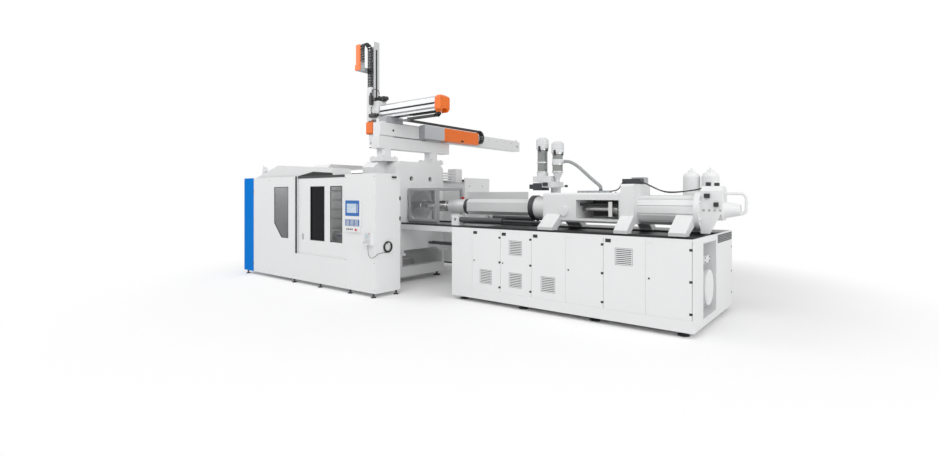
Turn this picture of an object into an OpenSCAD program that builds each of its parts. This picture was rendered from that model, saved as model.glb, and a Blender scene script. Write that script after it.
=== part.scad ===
// Two-platen injection moulding machine with a linear take-out robot on its fixed platen.
// Millimetres, +Z up, +X towards the injection end, operator side on -Y.

/* [Clamp guard] */
// Length of the guarded clamp, without the end panel
guard_len = 4150; // [4000:10:4600]
// Height of the guard's top edge above the floor
guard_h = 2160; // [2150:5:2300]
// Distance from the machine's axis to the guard's outer face
guard_y = 1900; // [1850:10:2100]
// Thickness of the guard's sheet panels
guard_sheet = 20; // [12:1:22]
// Width of the blue end panel
end_panel_w = 430; // [300:10:500]
// Width of the column that carries the control panel
column_w = 850; // [800:10:900]
// Depth of that column
column_depth = 580; // [400:10:600]
// Distance from the guard's front end to its rear end column
rear_end_back = 380; // [200:10:450]
// Height of the guard's levelling feet
foot_h = 70; // [50:1:100]

/* [Gates] */
// Width of the gate opening
gate_w = 1560; // [1400:10:1600]
// Height of the sill under the front gate
sill_h = 600; // [500:10:700]
// Thickness of a gate
gate_t = 40; // [30:1:50]
// Distance between the gate and the sheet in front of it
gate_clear = 6; // [4:1:10]
// Width of the gate's left window
gate_win_a_w = 471; // [400:1:500]
// Width of the gate's right window
gate_win_b_w = 367; // [300:1:400]
// Distance from the guard's top edge down to the windows
win_top = 210; // [150:10:300]
// Height of the windows' lower edge above the floor
win_z = 890; // [800:10:950]
// Width of the window in the fixed panel
guard_win_w = 540; // [400:10:560]

/* [Platens] */
// Height of the machine's axis above the injection base's edge
axis_rise = 330; // [300:5:370]
// Half width of the platens
platen_y = 970; // [940:5:1000]
// Half height of the platens
platen_h = 910; // [880:5:930]
// Thickness of the fixed platen
fixed_platen_t = 730; // [650:10:760]
// Length of the fixed platen's narrow part behind its tie bars
fixed_step_len = 360; // [300:10:400]
// Half width of that narrow part
fixed_step_y = 700; // [680:5:720]
// Thickness of the moving platen
moving_platen_t = 600; // [500:10:650]
// Gap between the open platens
mould_gap = 1250; // [1200:10:1300]
// Diameter of a tie bar
tie_bar_d = 180; // [140:5:200]
// Half of the distance between the tie bars across the machine
tie_bar_y = 760; // [740:5:790]
// Half of the distance between the tie bars in height
tie_bar_z = 680; // [660:5:710]
// Diameter of the locating bore
locating_d = 250; // [160:10:260]

/* [Robot] */
// Height of the plinth's underside above the platens
plinth_rise = 260; // [200:10:320]
// Height of the plinth and of its spacers
plinth_h = 270; // [240:10:300]
// Length of the traverse beam
traverse_len = 5100; // [4800:10:5400]
// Overhang of the beam on the operator's side of the axis
traverse_front = 890; // [850:10:1050]
// Width of the traverse beam
traverse_w = 220; // [180:5:230]
// Height of the traverse beam
traverse_h = 260; // [220:5:280]
// Length of the kick beam
kick_len = 1600; // [1300:10:1700]
// Height of the kick beam
kick_h = 250; // [220:5:270]
// Width of the kick beam
kick_w = 240; // [200:5:250]
// Length of the vertical arm
arm_len = 2100; // [1900:10:2200]
// Side of the arm's square section
arm_side = 160; // [130:5:170]
// Width of the energy chains
chain_w = 120; // [90:5:130]
// Thickness of the energy chains
chain_t = 36; // [28:1:40]

/* [Injection base] */
// Distance from the guard's front end to the base
base_gap = 1033; // [1000:1:1100]
// Length of the base
base_len = 3920; // [3900:5:4000]
// Half width of the base
base_y = 1080; // [1050:5:1100]
// Height of the base's edge above the floor
base_h = 1230; // [1225:1:1240]
// Depth of the deck below the base's edge
deck_drop = 40; // [30:1:60]
// Height of the skirt's top edge
skirt_z = 225; // [200:1:250]
// Width of a cabinet door
door_w = 575; // [560:1:580]
// Thickness of a cabinet door
door_t = 30; // [20:1:32]
// Depth of the switch cabinet behind the doors
cabinet_depth = 430; // [400:10:450]

/* [Injection unit] */
// Outer width of the barrel guard
cover_w = 290; // [280:5:310]
// Outer diameter of the barrel
barrel_d = 190; // [170:5:200]
// Diameter of the screw
screw_d = 90; // [70:1:100]
// Length of the feed housing
feed_len = 564; // [540:1:600]
// Half width of the feed housing and of the frame
unit_y = 330; // [320:1:340]
// Length of the open frame
frame_len = 775; // [740:1:800]
// Thickness of the rear post
post_t = 200; // [180:1:220]
// Length of the injection cylinder
cylinder_len = 800; // [760:1:840]
// Diameter of the injection cylinder without its ribs
cylinder_d = 410; // [380:1:420]
// Diameter of the rear flange
flange_d = 570; // [540:1:600]
// Diameter of an accumulator
accu_d = 240; // [200:1:250]
// Diameter of the loaders' sight tubes
loader_d = 172; // [150:1:180]

/* [Hidden] */
$fn = 48;

// Shared values
quarter = 90;
// Gap between pieces that slide on each other
run_gap = 0.3;
// Radial clearance of a rod in its gland or bearing
fit_gap = 0.05;
// Overrun of every cut
cut = 5;

// Height of the axis of barrel, screw and clamp
axis_z = base_h + axis_rise;

// Stations of the clamp along X, from the guard's front end at zero
guard_x0 = -guard_len;
end_x0 = guard_x0 - end_panel_w;
gate_x1 = -column_w;
gate_x0 = gate_x1 - gate_w;
rear_x1 = -rear_end_back;
front_y = -guard_y;
inner_y = front_y + guard_sheet;
gate_y0 = inner_y + gate_clear;
gate_y1 = gate_y0 + gate_t;
win_z1 = guard_h - win_top;

// Gate details
gate_overlap = 20;
gate_rail_h = 45;
gate_rail_w = 90;
gate_rail_gap = 5;
gate_tongue_w = 14;
gate_tongue_h = 25;
gate_guide_h = 40;
gate_z0 = sill_h - gate_overlap;
gate_z1 = guard_h - gate_rail_h - gate_rail_gap;
gate_win_a_in = 425;
gate_win_gap = 184;
gate_win_a_x0 = gate_x0 + gate_win_a_in;
gate_win_a_x1 = gate_win_a_x0 + gate_win_a_w;
gate_win_b_x0 = gate_win_a_x1 + gate_win_gap;
gate_win_b_x1 = gate_win_b_x0 + gate_win_b_w;
pane_t = 8;
pull_w = 60;
pull_h = 130;
pull_depth = 22;
pull_bar_d = 14;
pull_in = 165;
pull_z = 950;
seal_w = 60;
seal_t = 8;
guard_win_in = 330;
guard_win_cut_w = 280;
guard_win_cut_h = 290;
guard_win_x1 = gate_x0 - guard_win_in;
guard_win_x0 = guard_win_x1 - guard_win_w;
rear_gate_z0 = foot_h + gate_guide_h;

// Roof cover over the front of the clamp
roof_x0 = 4130;
roof_ridge_x0 = 3200;
roof_ridge_x1 = 1330;
roof_x1 = 1250;
roof_rise = 250;
roof_rise_end = 140;
roof_y0 = 20;
roof_depth = 440;

// Feet
foot_pad_share = 0.2;
foot_screw_share = 0.3;
foot_nut_share = 0.62;
foot_nut_d_share = 0.55;
guard_foot_d = 90;
base_foot_d = 150;
guard_feet_x = [-4410, -2520, -1620, -700, -60];
rear_feet_x = [-4500, -3400, -2480, -700, -440];
bed_feet_x = [-4400, -3300, -2200, -900];
base_feet = 4;
base_foot_in = 160;
base_foot_pitch = (base_len - 2 * base_foot_in) / (base_feet - 1);
base_feet_x = [for (i = [0:base_feet - 1]) base_gap + base_foot_in + i * base_foot_pitch];

// Platens
fixed_back = 770;
fixed_x1 = -fixed_back;
fixed_x0 = fixed_x1 - fixed_platen_t;
moving_x1 = fixed_x0 - mould_gap;
moving_x0 = moving_x1 - moving_platen_t;
platen_z0 = axis_z - platen_h;
platen_z1 = axis_z + platen_h;
plinth_z = platen_z1 + plinth_rise;
platen_chamfer = 120;
cone_mouth_d = 640;
cone_neck = 120;
mould_bolt_d = 26;
mould_bolt_depth = 70;
mould_bolt_pitch = 700;
vent_d = 105;
vent_depth = 90;
vent_y = 280;
vent_z = 560;
tie_bar_in = 220;
tie_bar_x0 = end_x0 + tie_bar_in;
tie_bar_skin = 60;
tie_bar_cover = fixed_step_len + tie_bar_skin;
tie_bar_groove_w = 16;
tie_bar_groove_pitch = 34;
tie_bar_groove_depth = 8;
tie_bar_grooves = 9;
tie_bar_groove_back = 170;
lock_d = 330;
lock_len = 260;
lock_cut_share = 0.22;
platen_slots = [-2.5, -1.5, -0.5, 0.5, 1.5, 2.5];
platen_t_slot_w = 28;
platen_t_slot_depth = 40;
platen_t_slot_pitch = 210;

// Valve block beside the fixed platen, on its pipes
valve_back = 30;
valve_len = 230;
valve_w = 230;
valve_h = 310;
valve_out = 460;
valve_top = 90;
valve_pipe_d = 38;
valve_pipe_pitch = 56;
valve_pipes = 4;

// Bed
bed_y = 630;
bed_w = 260;
bed_z0 = 120;
platen_lift = 50;
bed_z1 = platen_z0 - platen_lift;
bed_flange = 50;
bed_web = 70;
bed_end_in = 90;
bed_x0 = end_x0 + bed_end_in;
bed_over = 60;
bed_x1 = -fixed_back + bed_over;
bed_ties = 5;
bed_tie_w = 180;
bed_tie_h = 200;
platen_rail_w = 120;
platen_rail_h = 30;
shoe_len = 700;
shoe_w = 170;
bridge_h = 100;
bridge_w = 120;
rail_y = 520;
rail_w = 100;
rail_h = 32;
deck_z = base_h - deck_drop;
rail_z1 = deck_z + rail_h;

// Ejector and drives
ejector_pitch = 300;
ejector_rod_d = 50;
ejector_plate_side = 460;
ejector_plate_t = 60;
ejector_back = 230;
stroke_tube_d = 130;
stroke_rod_d = 70;
stroke_z = 470;
stroke_tube_len = 1000;
stroke_lug_t = 90;
stroke_lug_w = 200;
stroke_lug_in = 380;
carriage_tube_d = 95;
carriage_rod_d = 50;
carriage_drop = 230;
carriage_z = axis_z - carriage_drop;
carriage_tube_x0 = 760;
carriage_tube_len = 940;
carriage_gland = 700;
clevis_len = 170;
clevis_w = 120;
clevis_h = 195;
clevis_hole_d = 55;

// Guard ends
rear_fence_x1 = 1210;
rear_fence_z1 = 1845;
rear_fence_z0 = 100;
end_return = 300;
rear_column_gap = 20;
rear_column_y0 = platen_y + rear_column_gap;
rear_fence_y = max(base_y, rear_column_y0 + guard_sheet);

// Control panel, pendant and cable
panel_x0 = 806;
panel_w = 419;
panel_z0 = 1115;
panel_h = 582;
panel_t = 30;
panel_bezel = 12;
panel_field_t = 4;
panel_field_in = 14;
screen_in = 56;
screen_w = 270;
screen_h = 165;
screen_top = 72;
keypad_h = 118;
estop_d = 40;
estop_stem_d = 22;
estop_h = 26;
estop_travel = 6;
estop_in = 98;
estop_z = 45;
estop_stem_in = 14;
estop_rim_share = 0.6;
estop_crown_share = 0.36;
keypad_z = 110;
holder_x0 = 278;
holder_w = 228;
holder_z0 = 915;
holder_h = 215;
holder_t = 10;
holder_lip = 62;
holder_side = 22;
pendant_w = 150;
pendant_h = 196;
pendant_t = 42;
pendant_corner = 14;
pendant_screen_w = 96;
pendant_screen_h = 84;
pendant_screen_t = 3;
pendant_x = -165;
pendant_gland_d = 16;
pendant_gland_in = 19;
pendant_gland_y = front_y - holder_t - pendant_gland_in;
holder_cheek_share = 0.3;
hook_d = 22;
hook_len = 46;
hook_cap_d = 34;
hook_cap_t = 6;
cable_d = 8;
coil_y = -1630;
coil_z = 867;
coil_mean_d = 176;
coil_bundle_d = 34;
coil_x = coil_bundle_d / 2 + run_gap;
hook_z = coil_z + (coil_mean_d - coil_bundle_d - hook_d) / 2 - run_gap;
// Route of the pendant's cable from its gland to the coil
pendant_cable_route = [
    [-165, -1929, 914.7], [-165, -1929, 880], [-163, -1930, 840], [-156, -1932, 795],
    [-143, -1934, 752], [-122, -1936, 718], [-95, -1936, 697], [-62, -1934, 690],
    [-30, -1930, 696], [-4, -1920, 710], [12, -1902, 727], [18, -1876, 745],
    [18, -1846, 760], [18, -1812, 772], [18, -1776, 779], [18, -1738, 774],
    [18, -1700, 766], [18, -1664, 763]
];
cable_sides = 8;

// Nozzle guard
nozzle_x1 = 64;
nozzle_y = 380;
nozzle_below = 460;
nozzle_above = 360;
nozzle_z0 = axis_z - nozzle_below;
nozzle_z1 = axis_z + nozzle_above;
// Lower edge of the nozzle guard's door, clear of the rails
nozzle_sill = 36;
nozzle_door_z0 = rail_z1 + nozzle_sill;
nozzle_tube = 45;
nozzle_sheet = 6;
nozzle_door_gap = 4;
nozzle_pane_t = 6;
nozzle_hinge_d = 24;
nozzle_hinge_in = 30;
nozzle_door_share = 0.7;
nozzle_hinge_y = -nozzle_y - nozzle_door_gap - nozzle_tube * nozzle_door_share / 2;
nozzle_hinge_low = 92;
nozzle_hinge_high = 482;
nozzle_hinge_rows = [nozzle_door_z0 + nozzle_hinge_low, nozzle_door_z0 + nozzle_hinge_high];
nozzle_knuckle = 60;
nozzle_pin_d = 12;
nozzle_knob_d = 30;
nozzle_knob_l = 34;

// Robot stand and traverse
robot_x = -1150;
column_side = 240;
column_y = 700;
column_corner = 40;
console_len = 420;
console_w = 380;
console_h = 90;
plinth_front = 930;
plinth_rear = 1200;
plinth_w = 240;
plinth_pad_h = 30;
plinth_body_h = plinth_h - plinth_pad_h;
plinth_pad_len = 420;
plinth_pad_w = 150;
traverse_z0 = plinth_z + plinth_h;
traverse_z1 = traverse_z0 + traverse_h;
traverse_y0 = -traverse_front;
traverse_y1 = traverse_y0 + traverse_len;
traverse_rail_w = 40;
traverse_rail_h = 24;
traverse_rail_y = 70;
stop_d = 60;
stop_h = 70;
tray_y0 = 220;
tray_y1 = 860;
chain_cover_y1 = 2110;
tray_w = 170;
tray_z0 = 10;
tray_h = 290;
tray_wall = 6;
traverse_loop_y = 2380;
chain_lift = 24;
chain_rise = 36;
traverse_chain_z = traverse_z0 + tray_z0 + tray_wall + chain_lift;
traverse_chain_h = traverse_z0 + tray_z0 + tray_h + chain_rise + chain_t - traverse_chain_z;
chain_side = 25;
chain_in = 30;
chain_link = 62;
chain_notch_w = 7;
chain_notch_depth = 6;
carriage_y = -500;
carriage_len = 460;
carriage_plate_h = 110;
carriage_lip = 20;
carriage_lip_share = 0.7;
chain_lug = 70;
chain_lug_w = 60;
chain_lug_in = 5;
carriage_x0 = -1330;
carriage_x1 = -1040;
kick_rail_w = 34;
kick_rail_h = 30;
kick_rail_y = 90;

// Kick beam, its chain and cap
kick_x0 = -1390;
kick_x1 = kick_x0 + kick_len;
kick_z0 = traverse_z1 + traverse_rail_h + carriage_plate_h + kick_rail_h + 2 * run_gap;
kick_z1 = kick_z0 + kick_h;
kick_groove_h = 22;
kick_groove_depth = 18;
kick_groove_z = 105;
kick_chamfer = 36;
cap_len = 150;
cap_side = 12;
cap_drop = 70;
cap_chamfer = 60;
kick_chain_y = -505;
kick_chain_x0 = -580;
kick_chain_over = 60;
kick_chain_drop = 12;
kick_chain_rise = 40;
kick_chain_z = traverse_z1 + kick_chain_rise;
kick_chain_h = kick_z0 - kick_chain_drop - kick_chain_z;
tongue_over = 60;
tongue_w = 30;
tongue_in = 6;
cap_rake = 35;

// Arm, its carriage and chain
arm_x = -1690;
arm_y = -500;
saddle_below = 44.6;
saddle_h = 380;
saddle_z0 = kick_z0 - saddle_below;
saddle_z1 = saddle_z0 + saddle_h;
arm_below = 420;
arm_z0 = saddle_z0 - arm_below;
arm_z1 = arm_z0 + arm_len;
arm_wall = 12;
arm_slot_w = 44;
arm_slot_depth = 8;
arm_slot_in = (arm_side - arm_slot_w) / 2;
arm_slot_low = 910;
arm_slot_top = 160;
arm_slot_z0 = arm_z0 + arm_slot_low;
arm_slot_z1 = arm_z1 - arm_slot_top;
arm_chain_h = 245;
arm_chain_in = 60;
arm_chain_top = arm_z1 - arm_chain_in;
arm_chain_gap = 14;
arm_chain_outer = 420;
arm_chain_outer_z0 = arm_chain_top - arm_chain_outer;
trough_below = 20;
trough_h = 720;
trough_z0 = saddle_z0 - trough_below;
trough_z1 = trough_z0 + trough_h;
arm_chain_seat = 50;
arm_chain_inner_z0 = trough_z1 - arm_chain_seat;
trough_wall = 5;
trough_side = 5;
trough_x0 = arm_x - chain_w / 2 - trough_side - trough_wall;
trough_x1 = arm_x + chain_w / 2 + trough_side + trough_wall;
trough_gap = 5;
trough_y1 = arm_y - arm_side / 2 - trough_gap;
trough_back = 7;
trough_y0 = arm_y - arm_side / 2 - arm_chain_gap - chain_t - trough_back - trough_wall;
hood_t = 26;
hood_top = 80;
hood_h = 530;
hood_z1 = arm_chain_top - hood_top;
hood_z0 = hood_z1 - hood_h;
hood_gap = 75;
hood_bracket_t = 12;
lower_cover_rise = 120;
lower_cover_h = 270;
lower_cover_z0 = arm_z0 + lower_cover_rise;
lower_cover_z1 = lower_cover_z0 + lower_cover_h;
lower_cover_t = 55;
lower_cover_w = 210;
lower_cut_share = 0.4;
wrist_d = 130;
wrist_h = 75;
wrist_drop = 60;
wrist_z = arm_z0 - wrist_drop;
wrist_ear = 20;
wrist_body_share = 0.75;
wrist_axle_d = 50;
wrist_plate = 150;
wrist_plate_t = 16;
wrist_bolt_pcd = 100;
wrist_bolt_d = 9;
motor_side = 106;
motor_len = 280;
motor_cap_len = 60;
motor_small_side = 76;
motor_cut_share = 0.12;
motor_cap_share = 0.8;
motor_plug_share = 0.25;
motor_plug_w_share = 0.3;
motor_short_share = 0.7;

// Injection base
base_x0 = base_gap;
base_x1 = base_x0 + base_len;
base_wall = 25;
door_pin_d = 10;
door_gap = 4;
door_end_in = 13;
door_x1 = base_x1 - door_end_in;
door_top_in = 22;
door_z0 = skirt_z + door_gap;
door_z1 = base_h - door_top_in;
door_seam = 2;
door_pitch = door_w + door_seam;
door_pin_in = 20;
door_pin_len = 24;
door_slots = [0, 2, 4, 5];
divider_w = 24;
seam_depth = 3;
end_slots = 5;
end_slot_h = 12;
end_slot_pitch = 24;
louvre_w = 210;
louvre_h = 208;
louvre_slats = 8;
louvre_slot_h = 13;
louvre_depth = 8;
louvre_top = 144;
louvre_high_z = door_z1 - louvre_top - louvre_h;
louvre_low_z = 352;
louvre_in = 178;
latch_w = 74;
latch_h = 26;
latch_top = 48;
latch_z = door_z1 - latch_top;
latch_in = 28;
latch_depth = 6;
lock_hole_d = 26;
lock_z = 700;
lock_in = 42;
recess_y0 = -630;
recess_y1 = 60;
recess_depth = 300;
recess_z0 = 170;
recess_top = 80;
recess_z1 = base_h - recess_top;
grille_h = 130;

// Injection unit stations along X
feed_x0 = 2392;
feed_x1 = feed_x0 + feed_len;
frame_x1 = feed_x1 + frame_len;
post_x1 = frame_x1 + post_t;
cylinder_x1 = post_x1 + cylinder_len;
unit_below = 215;
unit_z0 = axis_z - unit_below;
unit_above = 258;
unit_z1 = axis_z + unit_above;
feed_boss_d = 150;
feed_boss_t = 26;
feed_boss_x = 386;
feed_boss_z = -42;
feed_foot_w = 270;
feed_foot_in = 60;
foot_y0 = 440;
foot_y1 = 610;
foot_pad_h = 46;
foot_slope_drop = 90;
foot_slope_z = axis_z - foot_slope_drop;
foot_root = 60;
round_len = 285;
round_d = 400;
collar_len = 95;
collar_d = 430;
frame_roof = 115;
frame_floor = 62;
frame_wall = 36;
post_rise = 385;
post_z1 = axis_z + post_rise;
post_y = 350;
post_foot_w = 330;
cylinder_ribs = 12;
cylinder_rib_w = 84;
cylinder_rib_h = 14;
flange_t = 70;
flange_bolt_d = 34;
flange_bolt_h = 18;
flange_bolt_in = 44;
rear_foot_w = 230;
rear_foot_y = 240;
cover_len = 1415;
cover_x1 = feed_x0 - round_len - collar_len;
cover_x0 = cover_x1 - cover_len;
guard_ring_len = 85;
guard_ring_d = 300;
guard_small_len = 415;
guard_small_d = 270;
guard_wall = 4;
cover_chamfer = 62;
barrel_x0 = -900;
heater_w = 150;
heater_pitch = 230;
heater_t = 14;
heater_count = 12;
nozzle_tip_x = -1370;
nozzle_tip_d = 60;
nozzle_neck_d = 110;
nozzle_cone_len = 200;
screw_x0 = -480;
screw_turns = 20;
screw_steps = 5;
screw_sides = 8;
screw_lobe = 10.8;
barrel_in = 200;
screw_back = 50;
barrel_nose = 20;
melt_d = 24;
heater_in = 60;
shank_d = 80;
coupling_d = 210;
coupling_len = 150;
coupling_back = 300;
coupling_x0 = frame_x1 - coupling_back;
coupling_bore = 80;
piston_rod_d = 110;
guide_rod_d = 46;
guide_rod_y = 170;
guide_rod_z = 70;
yoke_t = 60;
yoke_h = 230;
tray_bar = 26;
tray_x0 = 640;
hose_tray_drop = 302;
tray_low_z = axis_z - hose_tray_drop;
tray_bar_y = 240;
box_a_len = 282;
box_a_w = 160;
box_a_h = 84;
manifold_len = 270;
manifold_w = 300;
manifold_below = 130;
manifold_z0 = axis_z - manifold_below;
manifold_above = 345;
manifold_z1 = axis_z + manifold_above;
manifold_chamfer = 70;
drip_t = 8;
drip_len = 120;
drip_gap = 15;
motor_d0 = 240;
motor_d1 = 150;
motor_body_len = 205;
motor_rise = 15;
motor_z = axis_z + motor_rise;
pipe_d = 42;
pipe_reach = 290;
pipe_bend_r = 70;
pipe_rise = 240;
pipe_top_z = axis_z + pipe_rise;
pipe_drop = 36;
pipe_low_z = axis_z - pipe_drop;
accu_y = 410;
accu_rise = 80;
accu_z0 = axis_z + accu_rise;
accu_h = 490;
accu_z1 = accu_z0 + accu_h;
accu_pitch = 262;
accu_x = 4534;
accu_neck_d = 90;
accu_neck_h = 22;
accu_valve_d = 26;
accu_valve_h = 34;
accu_shelf_t = 40;

// Loaders and hose
loader_y = -100;
loader_x = 2246;
loader_pitch = 293;
loader_wall = 5;
lid_d = 212;
lid_h = 150;
lid_dome = 36;
tube_rise = 597;
tube_z0 = axis_z + tube_rise;
tube_h = 418;
tube_z1 = tube_z0 + tube_h;
second_drop = 82;
ring_d = 196;
loader_box_rise = 442;
box_z0 = axis_z + loader_box_rise;
loader_box_h = 97;
box_z1 = box_z0 + loader_box_h;
loader_box_w = 240;
loader_box_x1 = 2477;
plate_rise = 347;
plate_z0 = axis_z + plate_rise;
plate_x0 = 2330;
plate_len = 230;
plate_w = 320;
feed_spacer_d = 170;
throat_d = 90;
throat_x = 2450;
cone_d = 70;
cone_rise = 487;
cone_z0 = axis_z + cone_rise;
gate_handle_d = 22;
gate_handle_len = 120;
hose_d = 53;
hose_stub_len = 40;
hose_stub_d = 60;
hose_exit_rise = 780;
hose_exit_z = axis_z + hose_exit_rise;
hose_end_x = 3290;
hose_end_y = -60;
hose_end_h = 50;
hose_sides = 10;
// Route of the material hose from the second loader to its fitting on the frame, heights from the axis
material_hose_points = [
    [2665.3, -100, 780], [2700, -100, 780], [2755, -98, 772], [2815, -95, 747],
    [2880, -92, 708], [2945, -88, 658], [3010, -84, 600], [3075, -79, 540],
    [3138, -74, 484], [3198, -69, 434], [3248, -64, 392], [3280, -61, 362],
    [3290, -60, 335], [3290, -60, 308.3]
];
material_hose_route = [for (p = material_hose_points) p + [0, 0, axis_z]];

// Pump set inside the base
pump_motor_d = 380;
pump_top = 173;
pump_body_d = 240;
pump_motor_len = deck_z - door_z0 - 2 * divider_w - pump_top - pump_body_d / 2;
supply_pipe_d = 55;
supply_rise = 110;
supply_pipe_z = platen_z0 + supply_rise;
supply_pipe_pitch = 110;
supply_pipe_y = 250;
recess_pipe_d = 60;
recess_pipe_y = -330;
recess_pipe_r = 90;

unit_chamfer = 30;
carriage_in = 600;
piston_d = 300;
piston_t = 80;
piston_back = 171;
flange_bolt_turns = [0, 30, -30, -60, -90, -120, -150, 150, 180];
dome_share = 0.62;
dome_mid_share = 0.86;
dome_rise_share = 0.26;
lid_crown_share = 0.3;
gear_in = 50;
gear_t = 12;
gear_z0 = 330;
gear_top = 76;
gear_rows = 4;
gear_pitch = (deck_z - divider_w - gear_top - gear_z0) / gear_rows;
gear_columns = 3;
gear_depth = 70;
gear_side_share = 0.12;
pump_share = 0.9;

// Centre of the box that the whole machine fills
reach_x1 = cylinder_x1 + flange_t + manifold_len + pipe_reach;
reach_y0 = front_y - holder_lip;
mid_x = (end_x0 + reach_x1) / 2;
mid_y = (reach_y0 + traverse_y1) / 2;

// Puts a piece modelled about the machine's axis into the part's own frame
module placed() {
    translate([-mid_x, -mid_y, 0]) children();
}

// A box between two stations on each axis
module span(x, y, z) {
    translate([x[0], y[0], z[0]]) cube([x[1] - x[0], y[1] - y[0], z[1] - z[0]]);
}

// Stations on both sides of a middle, and those of a cut that runs past both ends
function about(m, w) = [m - w / 2, m + w / 2];
function past(a, b) = [a - cut, b + cut];

// Round bars along each axis
module bar_x(d, x, y, z) {
    translate([x[0], y, z]) rotate([0, quarter, 0]) cylinder(d = d, h = x[1] - x[0]);
}

module bar_y(d, x, y, z) {
    translate([x, y[0], z]) rotate([-quarter, 0, 0]) cylinder(d = d, h = y[1] - y[0]);
}

module bar_z(d, x, y, z) {
    translate([x, y, z[0]]) cylinder(d = d, h = z[1] - z[0]);
}

// Flat outlines pushed along an axis: points are X and Z, or Y and Z
module plate_xz(points, y) {
    translate([0, y[1], 0]) rotate([quarter, 0, 0]) linear_extrude(y[1] - y[0]) polygon(points);
}

module plate_yz(points, x) {
    translate([x[0], 0, 0]) rotate([quarter, 0, quarter]) linear_extrude(x[1] - x[0]) polygon(points);
}

// Copies on both sides of the machine's axis
module both_sides() {
    children();
    mirror([0, 1, 0]) children();
}

// Outline of a box with its four corners cut
function cut_corners(a, b, c) = [
    [a[0] + c, b[0]], [a[1] - c, b[0]], [a[1], b[0] + c], [a[1], b[1] - c],
    [a[1] - c, b[1]], [a[0] + c, b[1]], [a[0], b[1] - c], [a[0], b[0] + c]
];

// Places of the four tie bars
function tie_bar_places() = [
    for (y = about(0, 2 * 1), z = about(0, 2 * 1)) [y * tie_bar_y, axis_z + z * tie_bar_z]
];

// Swept tube along a route, with closed ends
function unit(v) = v / norm(v);
function route_way(p, i) = unit(p[min(i + 1, len(p) - 1)] - p[max(i - 1, 0)]);
function route_side(w) = unit(cross(w, [1, -1, 1]));
function route_ring(p, i, d, n) = let (w = route_way(p, i), s = route_side(w), t = cross(w, s))
    [for (k = [0:n - 1]) p[i] + d / 2 * (s * cos(4 * quarter * k / n) + t * sin(4 * quarter * k / n))];
module tube_along(p, d, n) {
    rings = len(p);
    points = [for (i = [0:rings - 1]) each route_ring(p, i, d, n)];
    sides = [for (i = [0:rings - 2], k = [0:n - 1])
        [i * n + k, (i + 1) * n + k, (i + 1) * n + (k + 1) % n, i * n + (k + 1) % n]];
    start = [[for (k = [0:n - 1]) k]];
    end = [[for (k = [0:n - 1]) rings * n - 1 - k]];
    polyhedron(points, concat(sides, start, end));
}

// Bed under the platens, the bridge to the injection base and the clevises of its cylinders
module clamp_bed() placed() color("gainsboro") {
    both_sides() {
        span([bed_x0, bed_x1], about(bed_y, bed_w), [bed_z0, bed_z0 + bed_flange]);
        span([bed_x0, bed_x1], about(bed_y, bed_web), [bed_z0, bed_z1]);
        span([bed_x0, bed_x1], about(bed_y, bed_w), [bed_z1 - bed_flange, bed_z1]);
        span([fixed_x1, base_x0], about(rail_y, bridge_w), [deck_z - bridge_h, deck_z]);
        difference() {
            span([carriage_tube_x0 - clevis_len, carriage_tube_x0], about(rail_y, clevis_w),
                [rail_z1, rail_z1 + clevis_h]);
            bar_y(clevis_hole_d, carriage_tube_x0 - clevis_len / 2, [rail_y - clevis_w, rail_y + clevis_w],
                carriage_z);
        }
    }
    bed_step = (bed_x1 - bed_x0 - bed_tie_w) / (bed_ties - 1);
    for (i = [0:bed_ties - 1])
        span([bed_x0 + i * bed_step, bed_x0 + i * bed_step + bed_tie_w], about(0, 2 * bed_y),
            [bed_z0, bed_z0 + bed_tie_h]);
    span([bed_x0, bed_x0 + bed_tie_w], about(0, stroke_lug_w),
        [bed_z0 + bed_tie_h - cut, stroke_z - stroke_tube_d / 2]);
}

// One levelling foot: a pad, its screw and its nut
module foot(h, d) {
    cylinder(d = d, h = h * foot_pad_share);
    cylinder(d = d * foot_screw_share, h = h);
    translate([0, 0, h * foot_nut_share])
        cylinder(d = d * foot_nut_d_share, h = h * foot_pad_share, $fn = 6);
}

module levelling_feet() placed() color("dimgray") {
    for (x = guard_feet_x) translate([x, front_y + guard_sheet / 2, 0]) foot(foot_h, guard_foot_d);
    for (x = rear_feet_x) translate([x, guard_y - guard_sheet / 2, 0]) foot(foot_h, guard_foot_d);
    translate([-guard_sheet / 2, front_y + column_depth - guard_foot_d, 0]) foot(foot_h, guard_foot_d);
    for (y = about(0, 2 * bed_y), x = bed_feet_x) translate([x, y, 0]) foot(bed_z0, base_foot_d);
    for (y = about(0, 2 * 1), x = base_feet_x)
        translate([x, y * (base_y - base_foot_d), 0]) foot(foot_h, base_foot_d);
}

// Rail that a gate hangs in, and the guide under it
module gate_track(z0) {
    mid = (gate_y0 + gate_y1) / 2;
    difference() {
        span([guard_x0, gate_x1 + gate_overlap], [inner_y, inner_y + gate_rail_w],
            [gate_z1 + gate_rail_gap, guard_h]);
        span(past(guard_x0, gate_x1 + gate_overlap),
            [mid - gate_tongue_w / 2 - run_gap, mid + gate_tongue_w / 2 + run_gap],
            [gate_z1, gate_z1 + gate_tongue_h + run_gap]);
    }
    span([guard_x0, gate_x1 + gate_overlap], [inner_y, gate_y1], [z0 - gate_guide_h, z0 - run_gap]);
}

module guide_rails() placed() color("dimgray") {
    both_sides() {
        span([bed_x0 + bed_tie_w, fixed_x0], about(bed_y, platen_rail_w),
            [bed_z1, bed_z1 + platen_rail_h]);
        span([fixed_x1, base_x1 - base_wall], about(rail_y, rail_w), [deck_z, rail_z1]);
    }
    gate_track(gate_z0);
    mirror([0, 1, 0]) gate_track(rear_gate_z0);
    span([gate_x0 - seal_w, gate_x0], [front_y - seal_t, front_y], [sill_h, guard_h]);
}

// Outline and bores that both platens share
module platen_block(x, w) {
    plate_yz(cut_corners(about(0, 2 * w), [platen_z0, platen_z1], platen_chamfer), x);
}

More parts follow.
